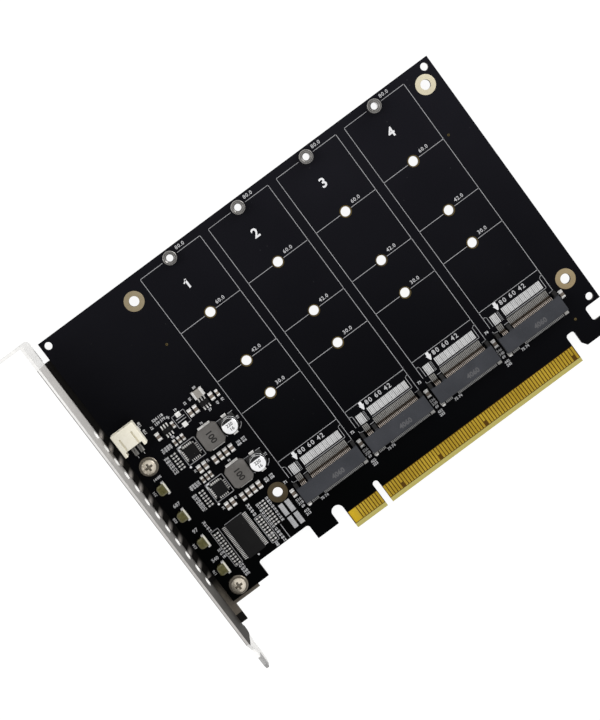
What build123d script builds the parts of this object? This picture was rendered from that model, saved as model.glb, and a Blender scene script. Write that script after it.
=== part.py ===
from build123d import *
import os

# Adapter card that carries four storage modules, with its slot bracket.
# Frame: the card lies flat, component side up. X runs along the edge connector, with the
# bracket on the -X side, and Y runs up the card. The origin is on the bottom edge of the
# board, at the centre of the key slot, halfway through the board's thickness.
# Millimetres.

os.makedirs("parts", exist_ok=True)

# Board outline
board_thickness = 1.6
board_height = 101.4
parts_zone = 35.53             # from the first socket's end to the board's left edge
right_margin = 10.27           # from the last socket's end to the board's right edge
shoulder_height = 4.6          # bottom edge of the board beside the connector
corner_radius = 1.0

# Edge connector: 82 contacts a side, split by the key slot
contact_pitch = 1.0
contact_width = 0.7
contact_plating = 0.04
contact_low = 1.6              # lowest and highest point of a full contact
contact_high = 5.6
short_contact_low = 3.2
contacts_left = 11
contacts_right = 71
key_gap = 3.0                  # between the contacts on each side of the key slot
key_width = 1.9
key_depth = 8.5
edge_margin = 0.65             # from the last contact's centre to the board's side
bevel_height = 1.4
bevel_depth = 0.4
joined_contacts = 3            # contacts that share one wide pad, at the bracket end
short_contacts = (17, 31, 48, 81)

# Cut-outs beside the connector
round_notch_width = 3.9
round_notch_top = 9.6
tab_width = 7.6                # tab between the round notch and the wide notch
shoulder_width = 13.25         # board left beside the wide notch, under the bracket's screw
wide_notch_top = 9.8
hook_notch_width = 2.9
hook_notch_top = 9.2
hook_bottom = 3.05
hook_chamfer_x = 1.05
hook_chamfer_y = 1.45
hook_slot_share = 0.46         # how much of the foot beyond the hook notch the slot takes
hook_slot_bottom = 7.75
hook_slot_top = 12.6

# Holes with a bare copper ring, and plain holes near the corners
ring_hole_diameter = 3.1
ring_diameter = 6.2
ring_plating = 0.05
ring_to_socket = 5.08          # from a socket's end to the ringed holes beside it
low_ring_y = 23.25
ring_from_top = 6.7
corner_hole_diameter = 2.4
corner_hole_inset = 2.2
right_hole_inset = 2.4
low_right_hole_y = 14.65

# Module places: four columns, each with a socket, three holes and a standoff
column_count = 4
column_middle = 28.53          # middle of the four columns
socket_gap = 2.8               # between the ends of two sockets
socket_line = 18.7             # where a module's contact end comes to rest
hole_shares = (0.375, 0.525, 0.75)  # modules 30, 42 and 60 mm long on a place for 80 mm
module_hole_diameter = 3.0
standoff_from_top = 2.7
standoff_diameter = 4.3
standoff_height = 2.5
standoff_bore = 2.15
standoff_sink = 0.5            # countersink round the bore
standoff_edge = 0.15
standoff_shank = 3.1
standoff_fit = 0.05            # room round the shank in the board
standoff_tail = 1.2            # how far the shank goes into the board

# Bracket: folded steel sheet
sheet = 0.86
bend_radius = 0.4
bracket_width = 18.42
bracket_length = 120.02
plate_gap = 2.1                # between the board's side and the bracket's inner face
flange_above_board = 3.0       # top of the flange over the board's top edge
flange_reach = 11.43
flange_notch_width = 4.42
flange_notch_depth = 5.2
flange_notch_place = 6.35      # from the outer face to the notch's centre
plate_end = 5.2                # how far the full width runs below the board's bottom
tongue_width = 10.19
tongue_shoulder = 3.0
tongue_tip_chamfer = 1.6
lip_reach = 3.1
lip_low = -2.5
lip_below_flange = 8.8
relief = 1.0                   # slit at each end of the fold
bracket_tab_width = 9.0
bracket_tab_reach = 12.0
vent_count = 12
vent_pitch = 5.015
vent_low = 14.6
vent_width = 2.5
vent_height = 5.0
vent_sill = 0.5                # from the board's face to the bottom of a vent

# Bracket screws
screw_inset = 4.3              # from the board's left edge
screw_y = (7.8, 52.6)
screw_thread = 2.5
screw_fit = 0.05
screw_clearance = 3.4
screw_length = 3.0
screw_flange = 5.9
screw_flange_height = 0.5
screw_flange_edge = 0.25
screw_head = 4.4
screw_head_height = 2.1
screw_dome = 0.8
cross_length = 2.5
cross_width = 0.75
cross_depth = 1.2
collar_diameter = 4.2
collar_height = 0.8

# Module sockets, measured from the line where a module's end rests
socket_height = 4.2
socket_back = -2.9
roof_front = 2.3
mouth_length = 20.1
end_wall = 1.05                # socket beyond each end of its mouth
mouth_low = 2.45
mouth_high = 3.45
lip_front = 4.0
socket_lip_height = 1.2
arm_front = 4.0
arm_height = 3.2
key_rib_width = 1.2
pin_count = 75
pin_margin = 0.8               # from the middle of an end pin to the end of the mouth
key_pins = range(59, 67)       # numbers left out at the key
pin_width = 0.22
pin_thickness = 0.15
lower_pin_front = 5.4
lower_pin_bend = 3.2
lower_pin_crest = 2.85
lower_pin_nose = 1.9
lower_pin_height = 2.6
upper_pin_back = -4.3
upper_pin_top = 3.75
upper_pin_nose = 1.6
pin_clearance = 0.1
socket_tab_width = 1.2
socket_tab_foot = 1.4
socket_tab_height = 1.5
socket_tab_thickness = 0.2

# Places of the parts beside the sockets are measured from the board's left edge

# Fan header: shrouded, two pins, opening towards the board's top edge
header_inset = 4.8
header_y = 60.5
header_width = 7.9
header_depth = 6.4
header_height = 5.5
header_wall = 0.8
header_back_wall = 1.2
wing_width = 1.0
wing_depth = 1.4
groove_place = 2.13
groove_width = 0.55
groove_length = 4.2
groove_depth = 0.6
header_pin_pitch = 2.0
header_pin_size = 0.5
header_pin_height = 2.9
header_pin_reach = 5.2
header_foot = 2.4
header_tab_width = 1.6
header_tab_thickness = 0.15
header_tab_reach = 0.3

# Side-looking indicator lamps
lamp_count = 4
lamp_pitch = 10.03
lamp_inset = 4.2               # to the joint between the lens and its base
lamp_y = 14.6
lens_depth = 2.3
lens_width = 3.3
lens_height = 2.1
lens_round = 1.0
lamp_base_depth = 0.8
lamp_base_height = 1.7
lamp_terminal = 0.5

# Voltage converters: choke, controller and tall capacitor, one set for each two sockets
converter_y = (49.0, 35.05)
choke_inset = 24.7
choke_size = 7.0
choke_height = 3.0
choke_chamfer = 0.9
choke_terminal_width = 4.2
choke_terminal_reach = 0.5
choke_terminal_thickness = 0.25
choke_terminal_height = 1.3
controller_inset = 17.25
controller_drop = 0.35         # controller sits this much nearer the connector
controller_size = 4.0
controller_height = 0.9
controller_pads = 5
controller_pad_pitch = 0.65
controller_pad_width = 0.3
controller_pad_reach = 0.35
controller_pad_thickness = 0.2
can_inset = 31.2
can_drop = 0.5
can_diameter = 5.0
can_height = 5.4
can_rim = 0.5
can_neck_height = 1.7
can_neck_depth = 0.25
can_base_size = 5.3
can_base_height = 0.9
can_base_chamfer = 1.3
can_lead_width = 1.5
can_lead_reach = 0.6
can_lead_thickness = 0.2

# Clock buffer: flat package with gull-wing leads on its long sides
buffer_inset = 14.8
buffer_y = 18.6
buffer_width = 6.1
buffer_length = 12.5
buffer_height = 1.0
buffer_stand = 0.1
buffer_leads = 24
buffer_lead_pitch = 0.5
buffer_lead_width = 0.24
buffer_lead_span = 8.4
lead_thickness = 0.14

# Small switch packages with three leads on each side
switch_places = ((15.25, 58.15), (29.05, 58.2))
switch_length = 2.9
switch_width = 1.6
switch_height = 1.1
switch_lead_pitch = 0.95
switch_lead_width = 0.42
switch_lead_span = 2.9

# Chip parts, lying along Y unless said otherwise: length, width, height, end cap
big_chip = (2.0, 1.25, 1.0, 0.5)
small_chip = (1.6, 0.8, 0.75, 0.35)
filter_choke = (3.4, 2.5, 1.6, 0.7)
big_chip_row = (21.4, 23.43, 25.4, 27.43)
big_chip_pair = (16.1, 18.05)
big_row_drop = 6.6
big_pair_drop = 6.1
small_chip_trio = (14.85, 16.35, 17.75)
small_trio_rise = 4.7
big_chips_above = ((12.0, 58.1), (23.95, 58.1), (25.9, 58.1), (31.9, 58.4))
small_chips_above = ((17.6, 58.4), (33.85, 58.2))
socket_chip_line = 20.2
filter_choke_inset = 29.15
filter_choke_y = 61.55

# Chip resistors, lying along X in columns: the column's inset, first Y and how many
resistor_length = 1.0
resistor_width = 0.5
resistor_height = 0.35
resistor_gap = 0.5
resistor_columns = ((8.15, 24.2, 12), (21.15, 20.5, 9), (24.8, 23.9, 9))
converter_resistors = 6
converter_resistor_inset = 12.2

# Worked out from the sizes above
top = board_thickness / 2
bottom = -board_thickness / 2
socket_length = mouth_length + 2 * end_wall
column_pitch = socket_length + socket_gap
column_x = [column_middle + (n - (column_count - 1) / 2) * column_pitch for n in range(column_count)]
first_socket_end = column_x[0] - socket_length / 2
last_socket_end = column_x[-1] + socket_length / 2
board_left = first_socket_end - parts_zone
board_right = last_socket_end + right_margin
tongue_left = -key_gap / 2 - (contacts_left - 1) * contact_pitch - edge_margin
tongue_right = key_gap / 2 + (contacts_right - 1) * contact_pitch + edge_margin
round_notch_left = tongue_left - round_notch_width
tab_left = round_notch_left - tab_width
wide_notch_left = board_left + shoulder_width
hook_left = tongue_right + hook_notch_width
hook_slot_left = board_right - hook_slot_share * (board_right - hook_left)
standoff_y = board_height - standoff_from_top
hole_rows = [socket_line + share * (standoff_y - socket_line) for share in hole_shares]
ring_holes = [
    (x, y)
    for x in (first_socket_end - ring_to_socket, last_socket_end + ring_to_socket)
    for y in (low_ring_y, board_height - ring_from_top)
]
corner_holes = (
    (board_left + corner_hole_inset, board_height - corner_hole_inset),
    (board_right - right_hole_inset, board_height - corner_hole_inset),
    (board_right - right_hole_inset, low_right_hole_y),
)
inner_face = board_left - plate_gap
outer_face = inner_face - sheet
bracket_low = bottom - sheet
bracket_high = bracket_low + bracket_width
flange_top = board_height + flange_above_board
tongue_end = flange_top - bracket_length
tongue_low = bracket_low + (bracket_width - tongue_width) / 2
lip_high = flange_top - lip_below_flange
screw_places = [(board_left + screw_inset, y) for y in screw_y]
header_x = board_left + header_inset
pin_pitch = 2 * (mouth_length - 2 * pin_margin) / (pin_count - 1)
resistor_pitch = resistor_width + resistor_gap
dome_radius = ((screw_head / 2) ** 2 + screw_dome**2) / (2 * screw_dome)


# Bare board: black laminate with its cut-outs and every hole
with BuildPart() as circuit_board:
    with BuildSketch(Plane.XY.offset(bottom)):
        with BuildLine():
            Polyline(
                (board_left, shoulder_height),
                (wide_notch_left, shoulder_height),
                (wide_notch_left, wide_notch_top),
                (tab_left, wide_notch_top),
                (tab_left, shoulder_height),
                (round_notch_left, shoulder_height),
                (round_notch_left, round_notch_top - round_notch_width / 2),
            )
            ThreePointArc(
                (round_notch_left, round_notch_top - round_notch_width / 2),
                (tongue_left - round_notch_width / 2, round_notch_top),
                (tongue_left, round_notch_top - round_notch_width / 2),
            )
            Polyline(
                (tongue_left, round_notch_top - round_notch_width / 2),
                (tongue_left, 0),
                (-key_width / 2, 0),
                (-key_width / 2, key_depth - key_width / 2),
            )
            ThreePointArc(
                (-key_width / 2, key_depth - key_width / 2),
                (0, key_depth),
                (key_width / 2, key_depth - key_width / 2),
            )
            Polyline(
                (key_width / 2, key_depth - key_width / 2),
                (key_width / 2, 0),
                (tongue_right, 0),
                (tongue_right, hook_notch_top),
                (hook_left, hook_notch_top),
                (hook_left, hook_bottom + hook_chamfer_y),
                (hook_left + hook_chamfer_x, hook_bottom),
                (board_right, hook_bottom),
                (board_right, hook_slot_bottom),
                (hook_slot_left, hook_slot_bottom),
                (hook_slot_left, hook_slot_top),
                (board_right, hook_slot_top),
                (board_right, board_height),
                (board_left, board_height),
                (board_left, shoulder_height),
            )
        make_face()
        with Locations(*[(x, y) for x in column_x for y in hole_rows]):
            Circle(module_hole_diameter / 2, mode=Mode.SUBTRACT)
        with Locations(*[(x, standoff_y) for x in column_x]):
            Circle(standoff_shank / 2 + standoff_fit, mode=Mode.SUBTRACT)
        with Locations(*ring_holes):
            Circle(ring_hole_diameter / 2, mode=Mode.SUBTRACT)
        with Locations(*corner_holes):
            Circle(corner_hole_diameter / 2, mode=Mode.SUBTRACT)
        with Locations(*screw_places):
            Circle(screw_clearance / 2, mode=Mode.SUBTRACT)
    extrude(amount=board_thickness)
    inner_corners = [
        (wide_notch_left, wide_notch_top),
        (tab_left, wide_notch_top),
        (tongue_right, hook_notch_top),
        (hook_left, hook_notch_top),
        (hook_slot_left, hook_slot_bottom),
        (hook_slot_left, hook_slot_top),
    ]
    upright = circuit_board.edges().filter_by(Axis.Z)
    for x, y in inner_corners:
        fillet(upright.sort_by_distance((x, y, 0))[0], corner_radius)
        upright = circuit_board.edges().filter_by(Axis.Z)
    # Bevel that leads the connector into its slot, on both faces
    with BuildSketch(Plane.YZ.offset(tongue_left)):
        for side in (1, -1):
            with BuildLine():
                Polyline(
                    (0, side * top),
                    (bevel_height, side * top),
                    (0, side * (top - bevel_depth)),
                    (0, side * top),
                )
            make_face()
    extrude(amount=tongue_right - tongue_left, mode=Mode.SUBTRACT)
circuit_board.part.label = "circuit_board"
export_step(circuit_board.part, "parts/circuit_board.step")


# Place of an edge contact along the connector, counted from the bracket end
def contact_x(number):
    if number <= contacts_left:
        return -key_gap / 2 - (contacts_left - number) * contact_pitch
    return key_gap / 2 + (number - contacts_left - 1) * contact_pitch


all_contacts = range(1, contacts_left + contacts_right + 1)
full_height = contact_high - contact_low
short_height = contact_high - short_contact_low

# Plated edge contacts: the component side has the wide pad and the short contacts
with BuildPart() as edge_contacts_front:
    with BuildSketch(Plane.XY.offset(top)):
        singles = [n for n in all_contacts if n > joined_contacts and n not in short_contacts]
        with Locations(*[(contact_x(n), contact_low) for n in singles]):
            Rectangle(contact_width, full_height, align=(Align.CENTER, Align.MIN))
        with Locations(*[(contact_x(n), short_contact_low) for n in short_contacts]):
            Rectangle(contact_width, short_height, align=(Align.CENTER, Align.MIN))
        with Locations((contact_x(1) - contact_width / 2, contact_low)):
            Rectangle(
                (joined_contacts - 1) * contact_pitch + contact_width,
                full_height,
                align=(Align.MIN, Align.MIN),
            )
    extrude(amount=contact_plating)
edge_contacts_front.part.label = "edge_contacts_front"
export_step(edge_contacts_front.part, "parts/edge_contacts_front.step")

with BuildPart() as edge_contacts_back:
    with BuildSketch(Plane.XY.offset(bottom - contact_plating)):
        with Locations(*[(contact_x(n), contact_low) for n in all_contacts if n > 1]):
            Rectangle(contact_width, full_height, align=(Align.CENTER, Align.MIN))
        with Locations((contact_x(1), short_contact_low)):
            Rectangle(contact_width, short_height, align=(Align.CENTER, Align.MIN))
    extrude(amount=contact_plating)
edge_contacts_back.part.label = "edge_contacts_back"
export_step(edge_contacts_back.part, "parts/edge_contacts_back.step")

# Bare copper rings round the four fixing holes, on both faces
with BuildPart() as hole_rings:
    for level in (top, bottom - ring_plating):
        with BuildSketch(Plane.XY.offset(level)):
            with Locations(*ring_holes):
                Circle(ring_diameter / 2)
                Circle(ring_hole_diameter / 2, mode=Mode.SUBTRACT)
        extrude(amount=ring_plating)
hole_rings.part.label = "hole_rings"
export_step(hole_rings.part, "parts/hole_rings.step")

# Standoffs that the free ends of the modules are screwed to
with BuildPart() as standoffs:
    with BuildSketch(Plane.XY.offset(top)):
        with Locations(*[(x, standoff_y) for x in column_x]):
            Circle(standoff_diameter / 2)
    extrude(amount=standoff_height)
    chamfer(standoffs.faces().group_by(Axis.Z)[-1].edges(), standoff_edge)
    with BuildSketch(Plane.XY.offset(top - standoff_tail)):
        with Locations(*[(x, standoff_y) for x in column_x]):
            Circle(standoff_shank / 2)
    extrude(amount=standoff_tail)
    with Locations(*[(x, standoff_y, top + standoff_height) for x in column_x]):
        CounterSinkHole(standoff_bore / 2, standoff_bore / 2 + standoff_sink, counter_sink_angle=90)
standoffs.part.label = "standoffs"
export_step(standoffs.part, "parts/standoffs.step")


# Bracket: one folded sheet with a plate, a lip and two tabs under the board, and a top flange
with BuildPart() as bracket:
    # Plate with its chamfered shoulders and tongue
    with BuildSketch(Plane.YZ.offset(outer_face)):
        with BuildLine():
            Polyline(
                (flange_top, bracket_low),
                (flange_top, bracket_high),
                (-plate_end, bracket_high),
                (-plate_end - tongue_shoulder, tongue_low + tongue_width),
                (tongue_end + tongue_tip_chamfer, tongue_low + tongue_width),
                (tongue_end, tongue_low + tongue_width - tongue_tip_chamfer),
                (tongue_end, tongue_low + tongue_tip_chamfer),
                (tongue_end + tongue_tip_chamfer, tongue_low),
                (-plate_end - tongue_shoulder, tongue_low),
                (-plate_end, bracket_low),
                (flange_top, bracket_low),
            )
        make_face()
        with Locations(*[(vent_low + n * vent_pitch, 0) for n in range(vent_count)]):
            with Locations((0, top + vent_sill + vent_height / 2)):
                SlotOverall(vent_height, vent_width, rotation=90, mode=Mode.SUBTRACT)
    extrude(amount=sheet)
    # Lip along the board's side, and the tabs that the screws go into
    with BuildSketch(Plane.XY.offset(bracket_low)):
        with BuildLine():
            Polyline(
                (outer_face, lip_low),
                (outer_face + lip_reach, lip_low),
                (outer_face + lip_reach, lip_high),
                (outer_face, lip_high),
                (outer_face, lip_low),
            )
        make_face()
        with Locations(*[(outer_face, y) for y in screw_y]):
            Rectangle(bracket_tab_reach, bracket_tab_width, align=(Align.MIN, Align.CENTER))
    extrude(amount=sheet)
    for y in (lip_low - relief, lip_high):
        with BuildSketch(Plane.YZ.offset(outer_face)):
            with Locations((y, bracket_low)):
                Rectangle(relief, sheet + bend_radius, align=(Align.MIN, Align.MIN))
        extrude(amount=sheet, mode=Mode.SUBTRACT)
    # Flange with the notch for the case screw
    with BuildSketch(Plane.XZ.offset(-flange_top)):
        with Locations((inner_face, bracket_low)):
            Rectangle(flange_reach + sheet, bracket_width, align=(Align.MAX, Align.MIN))
        with Locations((outer_face - flange_notch_place, bracket_low)):
            Rectangle(
                flange_notch_width,
                flange_notch_depth - flange_notch_width / 2,
                align=(Align.CENTER, Align.MIN),
                mode=Mode.SUBTRACT,
            )
        notch_centre = bracket_low + flange_notch_depth - flange_notch_width / 2
        with Locations((outer_face - flange_notch_place, notch_centre)):
            Circle(flange_notch_width / 2, mode=Mode.SUBTRACT)
    extrude(amount=sheet)
    # Round the folds, inside and outside
    along = bracket.edges().filter_by(Axis.Y)
    lip_middle = (lip_low + lip_high) / 2
    fillet(along.sort_by_distance((outer_face, lip_middle, bracket_low))[0], bend_radius + sheet)
    across = bracket.edges().filter_by(Axis.Z)
    middle = (bracket_low + bracket_high) / 2
    fillet(across.sort_by_distance((inner_face, flange_top, middle))[0], bend_radius + sheet)
    across = bracket.edges().filter_by(Axis.Z)
    fillet(across.sort_by_distance((outer_face, flange_top - sheet, middle))[0], bend_radius)
    # Threaded collars pressed out of the tabs
    with BuildSketch(Plane.XY.offset(bracket_low)):
        with Locations(*screw_places):
            Circle(collar_diameter / 2)
    extrude(amount=-collar_height)
    with Locations(*[(x, y, bottom) for x, y in screw_places]):
        Hole(screw_thread / 2, depth=sheet + collar_height)
bracket.part.label = "bracket"
export_step(bracket.part, "parts/bracket.step")

# Pan-head screws with a collar and a cross recess, through the board into the bracket's tabs
with BuildPart() as bracket_screw:
    with BuildSketch(Plane.XZ):
        with BuildLine():
            Polyline(
                (0, 0),
                (screw_flange / 2, 0),
                (screw_flange / 2, screw_flange_height - screw_flange_edge),
                (screw_flange / 2 - screw_flange_edge, screw_flange_height),
                (screw_head / 2, screw_flange_height),
                (screw_head / 2, screw_head_height - screw_dome),
            )
            RadiusArc(
                (screw_head / 2, screw_head_height - screw_dome),
                (0, screw_head_height),
                -dome_radius,
            )
            Line((0, screw_head_height), (0, 0))
        make_face()
    revolve(axis=Axis.Z)
    with BuildSketch(Plane.XY):
        Circle(screw_thread / 2 - screw_fit)
    extrude(amount=-screw_length)
    with BuildSketch(Plane.XY.offset(screw_head_height)):
        Rectangle(cross_length, cross_width)
        Rectangle(cross_width, cross_length)
    extrude(amount=-cross_depth, mode=Mode.SUBTRACT)

with BuildPart() as bracket_screws:
    with Locations(*[(x, y, top) for x, y in screw_places]):
        add(bracket_screw.part)
bracket_screws.part.label = "bracket_screws"
export_step(bracket_screws.part, "parts/bracket_screws.step")


# Module socket, in a frame of its own: x from the column's centre, y from the module's end
# line, z from the board's face. Pins are numbered from the +x end, odd above, even below.
def pin_x(number):
    return ((pin_count + 1) / 2 - number) * pin_pitch / 2


present = [n for n in range(1, pin_count + 1) if n not in key_pins]
lower_pins = [pin_x(n) for n in present if n % 2 == 0]
upper_pins = [pin_x(n) for n in present if n % 2 == 1]
rib_middle = (pin_x(key_pins[0]) + pin_x(key_pins[-1])) / 2
rib_left = rib_middle - key_rib_width / 2
rib_right = rib_middle + key_rib_width / 2
mouth_spans = ((-mouth_length / 2, rib_left), (rib_right, mouth_length / 2))
riser_back = socket_back + pin_clearance
riser_front = riser_back + pin_thickness + pin_clearance

with BuildPart() as socket_housing:
    # Section: floor, lip that slopes down to the front, and roof. The lip stays at the key rib.
    with BuildSketch(Plane.YZ):
        with BuildLine():
            Polyline(
                (socket_back, 0),
                (lip_front, 0),
                (lip_front, socket_lip_height),
                (roof_front, mouth_low),
                (roof_front, socket_height),
                (socket_back, socket_height),
                (socket_back, 0),
            )
        make_face()
    extrude(amount=socket_length / 2, both=True)
    chamfer(socket_housing.edges().filter_by(Axis.X).group_by(Axis.Z)[-1], 0.3)
    # Arms that flank the module's contact end
    with BuildSketch(Plane.YZ.offset(-socket_length / 2)):
        with Locations((0, 0)):
            Rectangle(arm_front, arm_height, align=(Align.MIN, Align.MIN))
    extrude(amount=(socket_length - mouth_length) / 2)
    with BuildSketch(Plane.YZ.offset(socket_length / 2)):
        with Locations((0, 0)):
            Rectangle(arm_front, arm_height, align=(Align.MIN, Align.MIN))
    extrude(amount=-(socket_length - mouth_length) / 2)
    # On each side of the key rib: the mouth, the trough of the lower pins, open to the front,
    # and the channel that the upper pins rise and reach forward in
    for left, right in mouth_spans:
        hollows = (
            (0, roof_front, mouth_low, mouth_high),
            (lower_pin_nose - pin_clearance, lip_front, 0, mouth_low),
            (socket_back, riser_front, 0, upper_pin_top + pin_clearance),
            (socket_back, upper_pin_nose + pin_clearance, mouth_high, upper_pin_top + pin_clearance),
        )
        for back, front, low, high in hollows:
            with BuildSketch(Plane.XY.offset(low)):
                with Locations(((left + right) / 2, (back + front) / 2)):
                    Rectangle(right - left, front - back)
            extrude(amount=high - low, mode=Mode.SUBTRACT)

# One lower pin: foot on the board, then a steep spring with its crest at the mouth
with BuildPart() as lower_pin:
    with BuildSketch(Plane.YZ):
        with BuildLine():
            Polyline(
                (lower_pin_front, 0),
                (lower_pin_front, pin_thickness),
                (lower_pin_bend, pin_thickness),
                (lower_pin_crest, lower_pin_height),
                (lower_pin_nose, lower_pin_height),
                (lower_pin_nose, lower_pin_height - pin_thickness),
                (lower_pin_crest - pin_thickness, lower_pin_height - pin_thickness),
                (lower_pin_bend - pin_thickness, 0),
                (lower_pin_front, 0),
            )
        make_face()
    extrude(amount=pin_width / 2, both=True)

# One upper pin: foot behind the socket, a riser, and a beam forward over the mouth
with BuildPart() as upper_pin:
    with BuildSketch(Plane.YZ):
        with BuildLine():
            Polyline(
                (upper_pin_back, 0),
                (upper_pin_back, pin_thickness),
                (riser_back, pin_thickness),
                (riser_back, upper_pin_top),
                (upper_pin_nose, upper_pin_top),
                (upper_pin_nose, upper_pin_top - pin_thickness),
                (riser_back + pin_thickness, upper_pin_top - pin_thickness),
                (riser_back + pin_thickness, 0),
                (upper_pin_back, 0),
            )
        make_face()
    extrude(amount=pin_width / 2, both=True)

with BuildPart() as lower_pin_row:
    with Locations(*[(x, 0, 0) for x in lower_pins]):
        add(lower_pin.part)

with BuildPart() as upper_pin_row:
    with Locations(*[(x, 0, 0) for x in upper_pins]):
        add(upper_pin.part)

# Metal tabs that solder the socket's back corners down
with BuildPart() as socket_tabs:
    for end in (-1, 1):
        with BuildSketch(Plane.YZ.offset(end * (socket_length - socket_tab_width) / 2)):
            with BuildLine():
                Polyline(
                    (socket_back, 0),
                    (socket_back, socket_tab_height),
                    (socket_back - socket_tab_thickness, socket_tab_height),
                    (socket_back - socket_tab_thickness, socket_tab_thickness),
                    (socket_back - socket_tab_foot, socket_tab_thickness),
                    (socket_back - socket_tab_foot, 0),
                    (socket_back, 0),
                )
            make_face()
        extrude(amount=socket_tab_width / 2, both=True)

socket_pieces = {
    "housing": socket_housing,
    "lower_pins": lower_pin_row,
    "upper_pins": upper_pin_row,
    "solder_tabs": socket_tabs,
}
for number, x in enumerate(column_x, start=1):
    for piece, builder in socket_pieces.items():
        placed = builder.part.moved(Location((x, socket_line, top)))
        placed.label = f"socket_{number}_{piece}"
        export_step(placed, f"parts/socket_{number}_{piece}.step")


# Fan header: moulded shroud with its wings, open at the front
header_middle = (header_x, header_y + header_depth / 2)
with BuildPart() as fan_header:
    with BuildSketch(Plane.XY.offset(top)):
        with Locations(header_middle):
            Rectangle(header_width, header_depth)
        for end in (-1, 1):
            with Locations((header_x + end * (header_width - wing_width) / 2, header_y)):
                Rectangle(wing_width, wing_depth, align=(Align.CENTER, Align.MAX))
    extrude(amount=header_height)
    fillet(fan_header.edges().filter_by(Axis.Z), 0.2)
    chamfer(fan_header.faces().sort_by(Axis.Z)[-1].edges(), 0.15)
    with BuildSketch(Plane.XZ.offset(-header_y - header_depth)):
        with Locations((header_x, top + header_height / 2)):
            Rectangle(header_width - 2 * header_wall, header_height - 2 * header_wall)
    extrude(amount=header_depth - header_back_wall, mode=Mode.SUBTRACT)
    with BuildSketch(Plane.XY.offset(top + header_height)):
        for end in (-1, 1):
            with Locations((header_x + end * groove_place, header_y)):
                Rectangle(groove_width, groove_length, align=(Align.CENTER, Align.MIN))
    extrude(amount=-groove_depth, mode=Mode.SUBTRACT)
    # Openings through the back wall, in which the pins sit
    with BuildSketch(Plane.XZ.offset(-header_y)):
        for end in (-1, 1):
            with Locations((header_x + end * header_pin_pitch / 2, top + header_pin_height)):
                Rectangle(header_pin_size, header_pin_size)
    extrude(amount=-header_back_wall, mode=Mode.SUBTRACT)
fan_header.part.label = "fan_header_housing"
export_step(fan_header.part, "parts/fan_header_housing.step")

# Its two pins: square wire, out of the back wall, down and back along the board
with BuildPart() as fan_header_pins:
    wire = header_pin_size
    high = top + header_pin_height + wire / 2
    for end in (-1, 1):
        with BuildSketch(Plane.YZ.offset(header_x + end * header_pin_pitch / 2)):
            with BuildLine():
                Polyline(
                    (header_y + header_back_wall + header_pin_reach, high),
                    (header_y + header_back_wall + header_pin_reach, high - wire),
                    (header_y - wing_depth / 2, high - wire),
                    (header_y - wing_depth / 2, top),
                    (header_y - wing_depth / 2 - header_foot, top),
                    (header_y - wing_depth / 2 - header_foot, top + wire),
                    (header_y - wing_depth / 2 - wire, top + wire),
                    (header_y - wing_depth / 2 - wire, high),
                    (header_y + header_back_wall + header_pin_reach, high),
                )
            make_face()
        extrude(amount=wire / 2, both=True)
fan_header_pins.part.label = "fan_header_pins"
export_step(fan_header_pins.part, "parts/fan_header_pins.step")

# Metal tabs that solder the shroud's sides down
with BuildPart() as fan_header_tabs:
    for end in (-1, 1):
        side = header_x + end * header_width / 2
        with BuildSketch(Plane.XZ.offset(-header_middle[1] - header_tab_width / 2)):
            with BuildLine():
                Polyline(
                    (side, top),
                    (side, top + 2 * header_tab_reach),
                    (side + end * header_tab_thickness, top + 2 * header_tab_reach),
                    (side + end * header_tab_thickness, top + header_tab_thickness),
                    (side + end * header_tab_reach, top + header_tab_thickness),
                    (side + end * header_tab_reach, top),
                    (side, top),
                )
            make_face()
        extrude(amount=header_tab_width)
fan_header_tabs.part.label = "fan_header_tabs"
export_step(fan_header_tabs.part, "parts/fan_header_tabs.step")


# Indicator lamps: clear green lens facing the bracket, on an upright white base
with BuildPart() as lens:
    with BuildSketch(Plane.XY):
        Rectangle(lens_depth, lens_width, align=(Align.MAX, Align.CENTER))
    extrude(amount=lens_height)
    front = lens.edges().filter_by(Axis.Z).group_by(Axis.X)[0]
    fillet(front, lens_round)
    fillet(lens.faces().sort_by(Axis.Z)[-1].edges().group_by(Axis.X)[:-1], lens_round / 2)
with BuildPart() as lamp_base:
    with BuildSketch(Plane.XY):
        Rectangle(lamp_base_depth, lens_width, align=(Align.MIN, Align.CENTER))
    extrude(amount=lamp_base_height)
with BuildPart() as lamp_terminals:
    with BuildSketch(Plane.XY):
        for end in (-1, 1):
            with Locations((lamp_base_depth / 2, end * (lens_width + lamp_terminal) / 2)):
                Rectangle(lamp_base_depth, lamp_terminal)
    extrude(amount=lamp_base_height)
lamp_places = [
    Location((board_left + lamp_inset, lamp_y + n * lamp_pitch, top)) for n in range(lamp_count)
]
for number, place in enumerate(lamp_places, start=1):
    for piece, builder in {"lens": lens, "base": lamp_base}.items():
        placed = builder.part.moved(place)
        placed.label = f"lamp_{number}_{piece}"
        export_step(placed, f"parts/lamp_{number}_{piece}.step")
with BuildPart() as all_lamp_terminals:
    with Locations(*lamp_places):
        add(lamp_terminals.part)
all_lamp_terminals.part.label = "lamp_terminals"
export_step(all_lamp_terminals.part, "parts/lamp_terminals.step")


# Voltage converters, each piece in a frame of its own with z from the board's face
with BuildPart() as choke:
    with BuildSketch():
        Rectangle(choke_size, choke_size)
        chamfer(vertices(), choke_chamfer)
    extrude(amount=choke_height)
    chamfer(choke.faces().sort_by(Axis.Z)[-1].edges(), 0.2)
with BuildPart() as choke_terminals:
    for end in (-1, 1):
        side = end * choke_size / 2
        with BuildSketch(Plane.YZ):
            with BuildLine():
                Polyline(
                    (side, 0),
                    (side, choke_terminal_height),
                    (side + end * choke_terminal_thickness, choke_terminal_height),
                    (side + end * choke_terminal_thickness, choke_terminal_thickness),
                    (side + end * choke_terminal_reach, choke_terminal_thickness),
                    (side + end * choke_terminal_reach, 0),
                    (side, 0),
                )
            make_face()
        extrude(amount=choke_terminal_width / 2, both=True)

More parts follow.
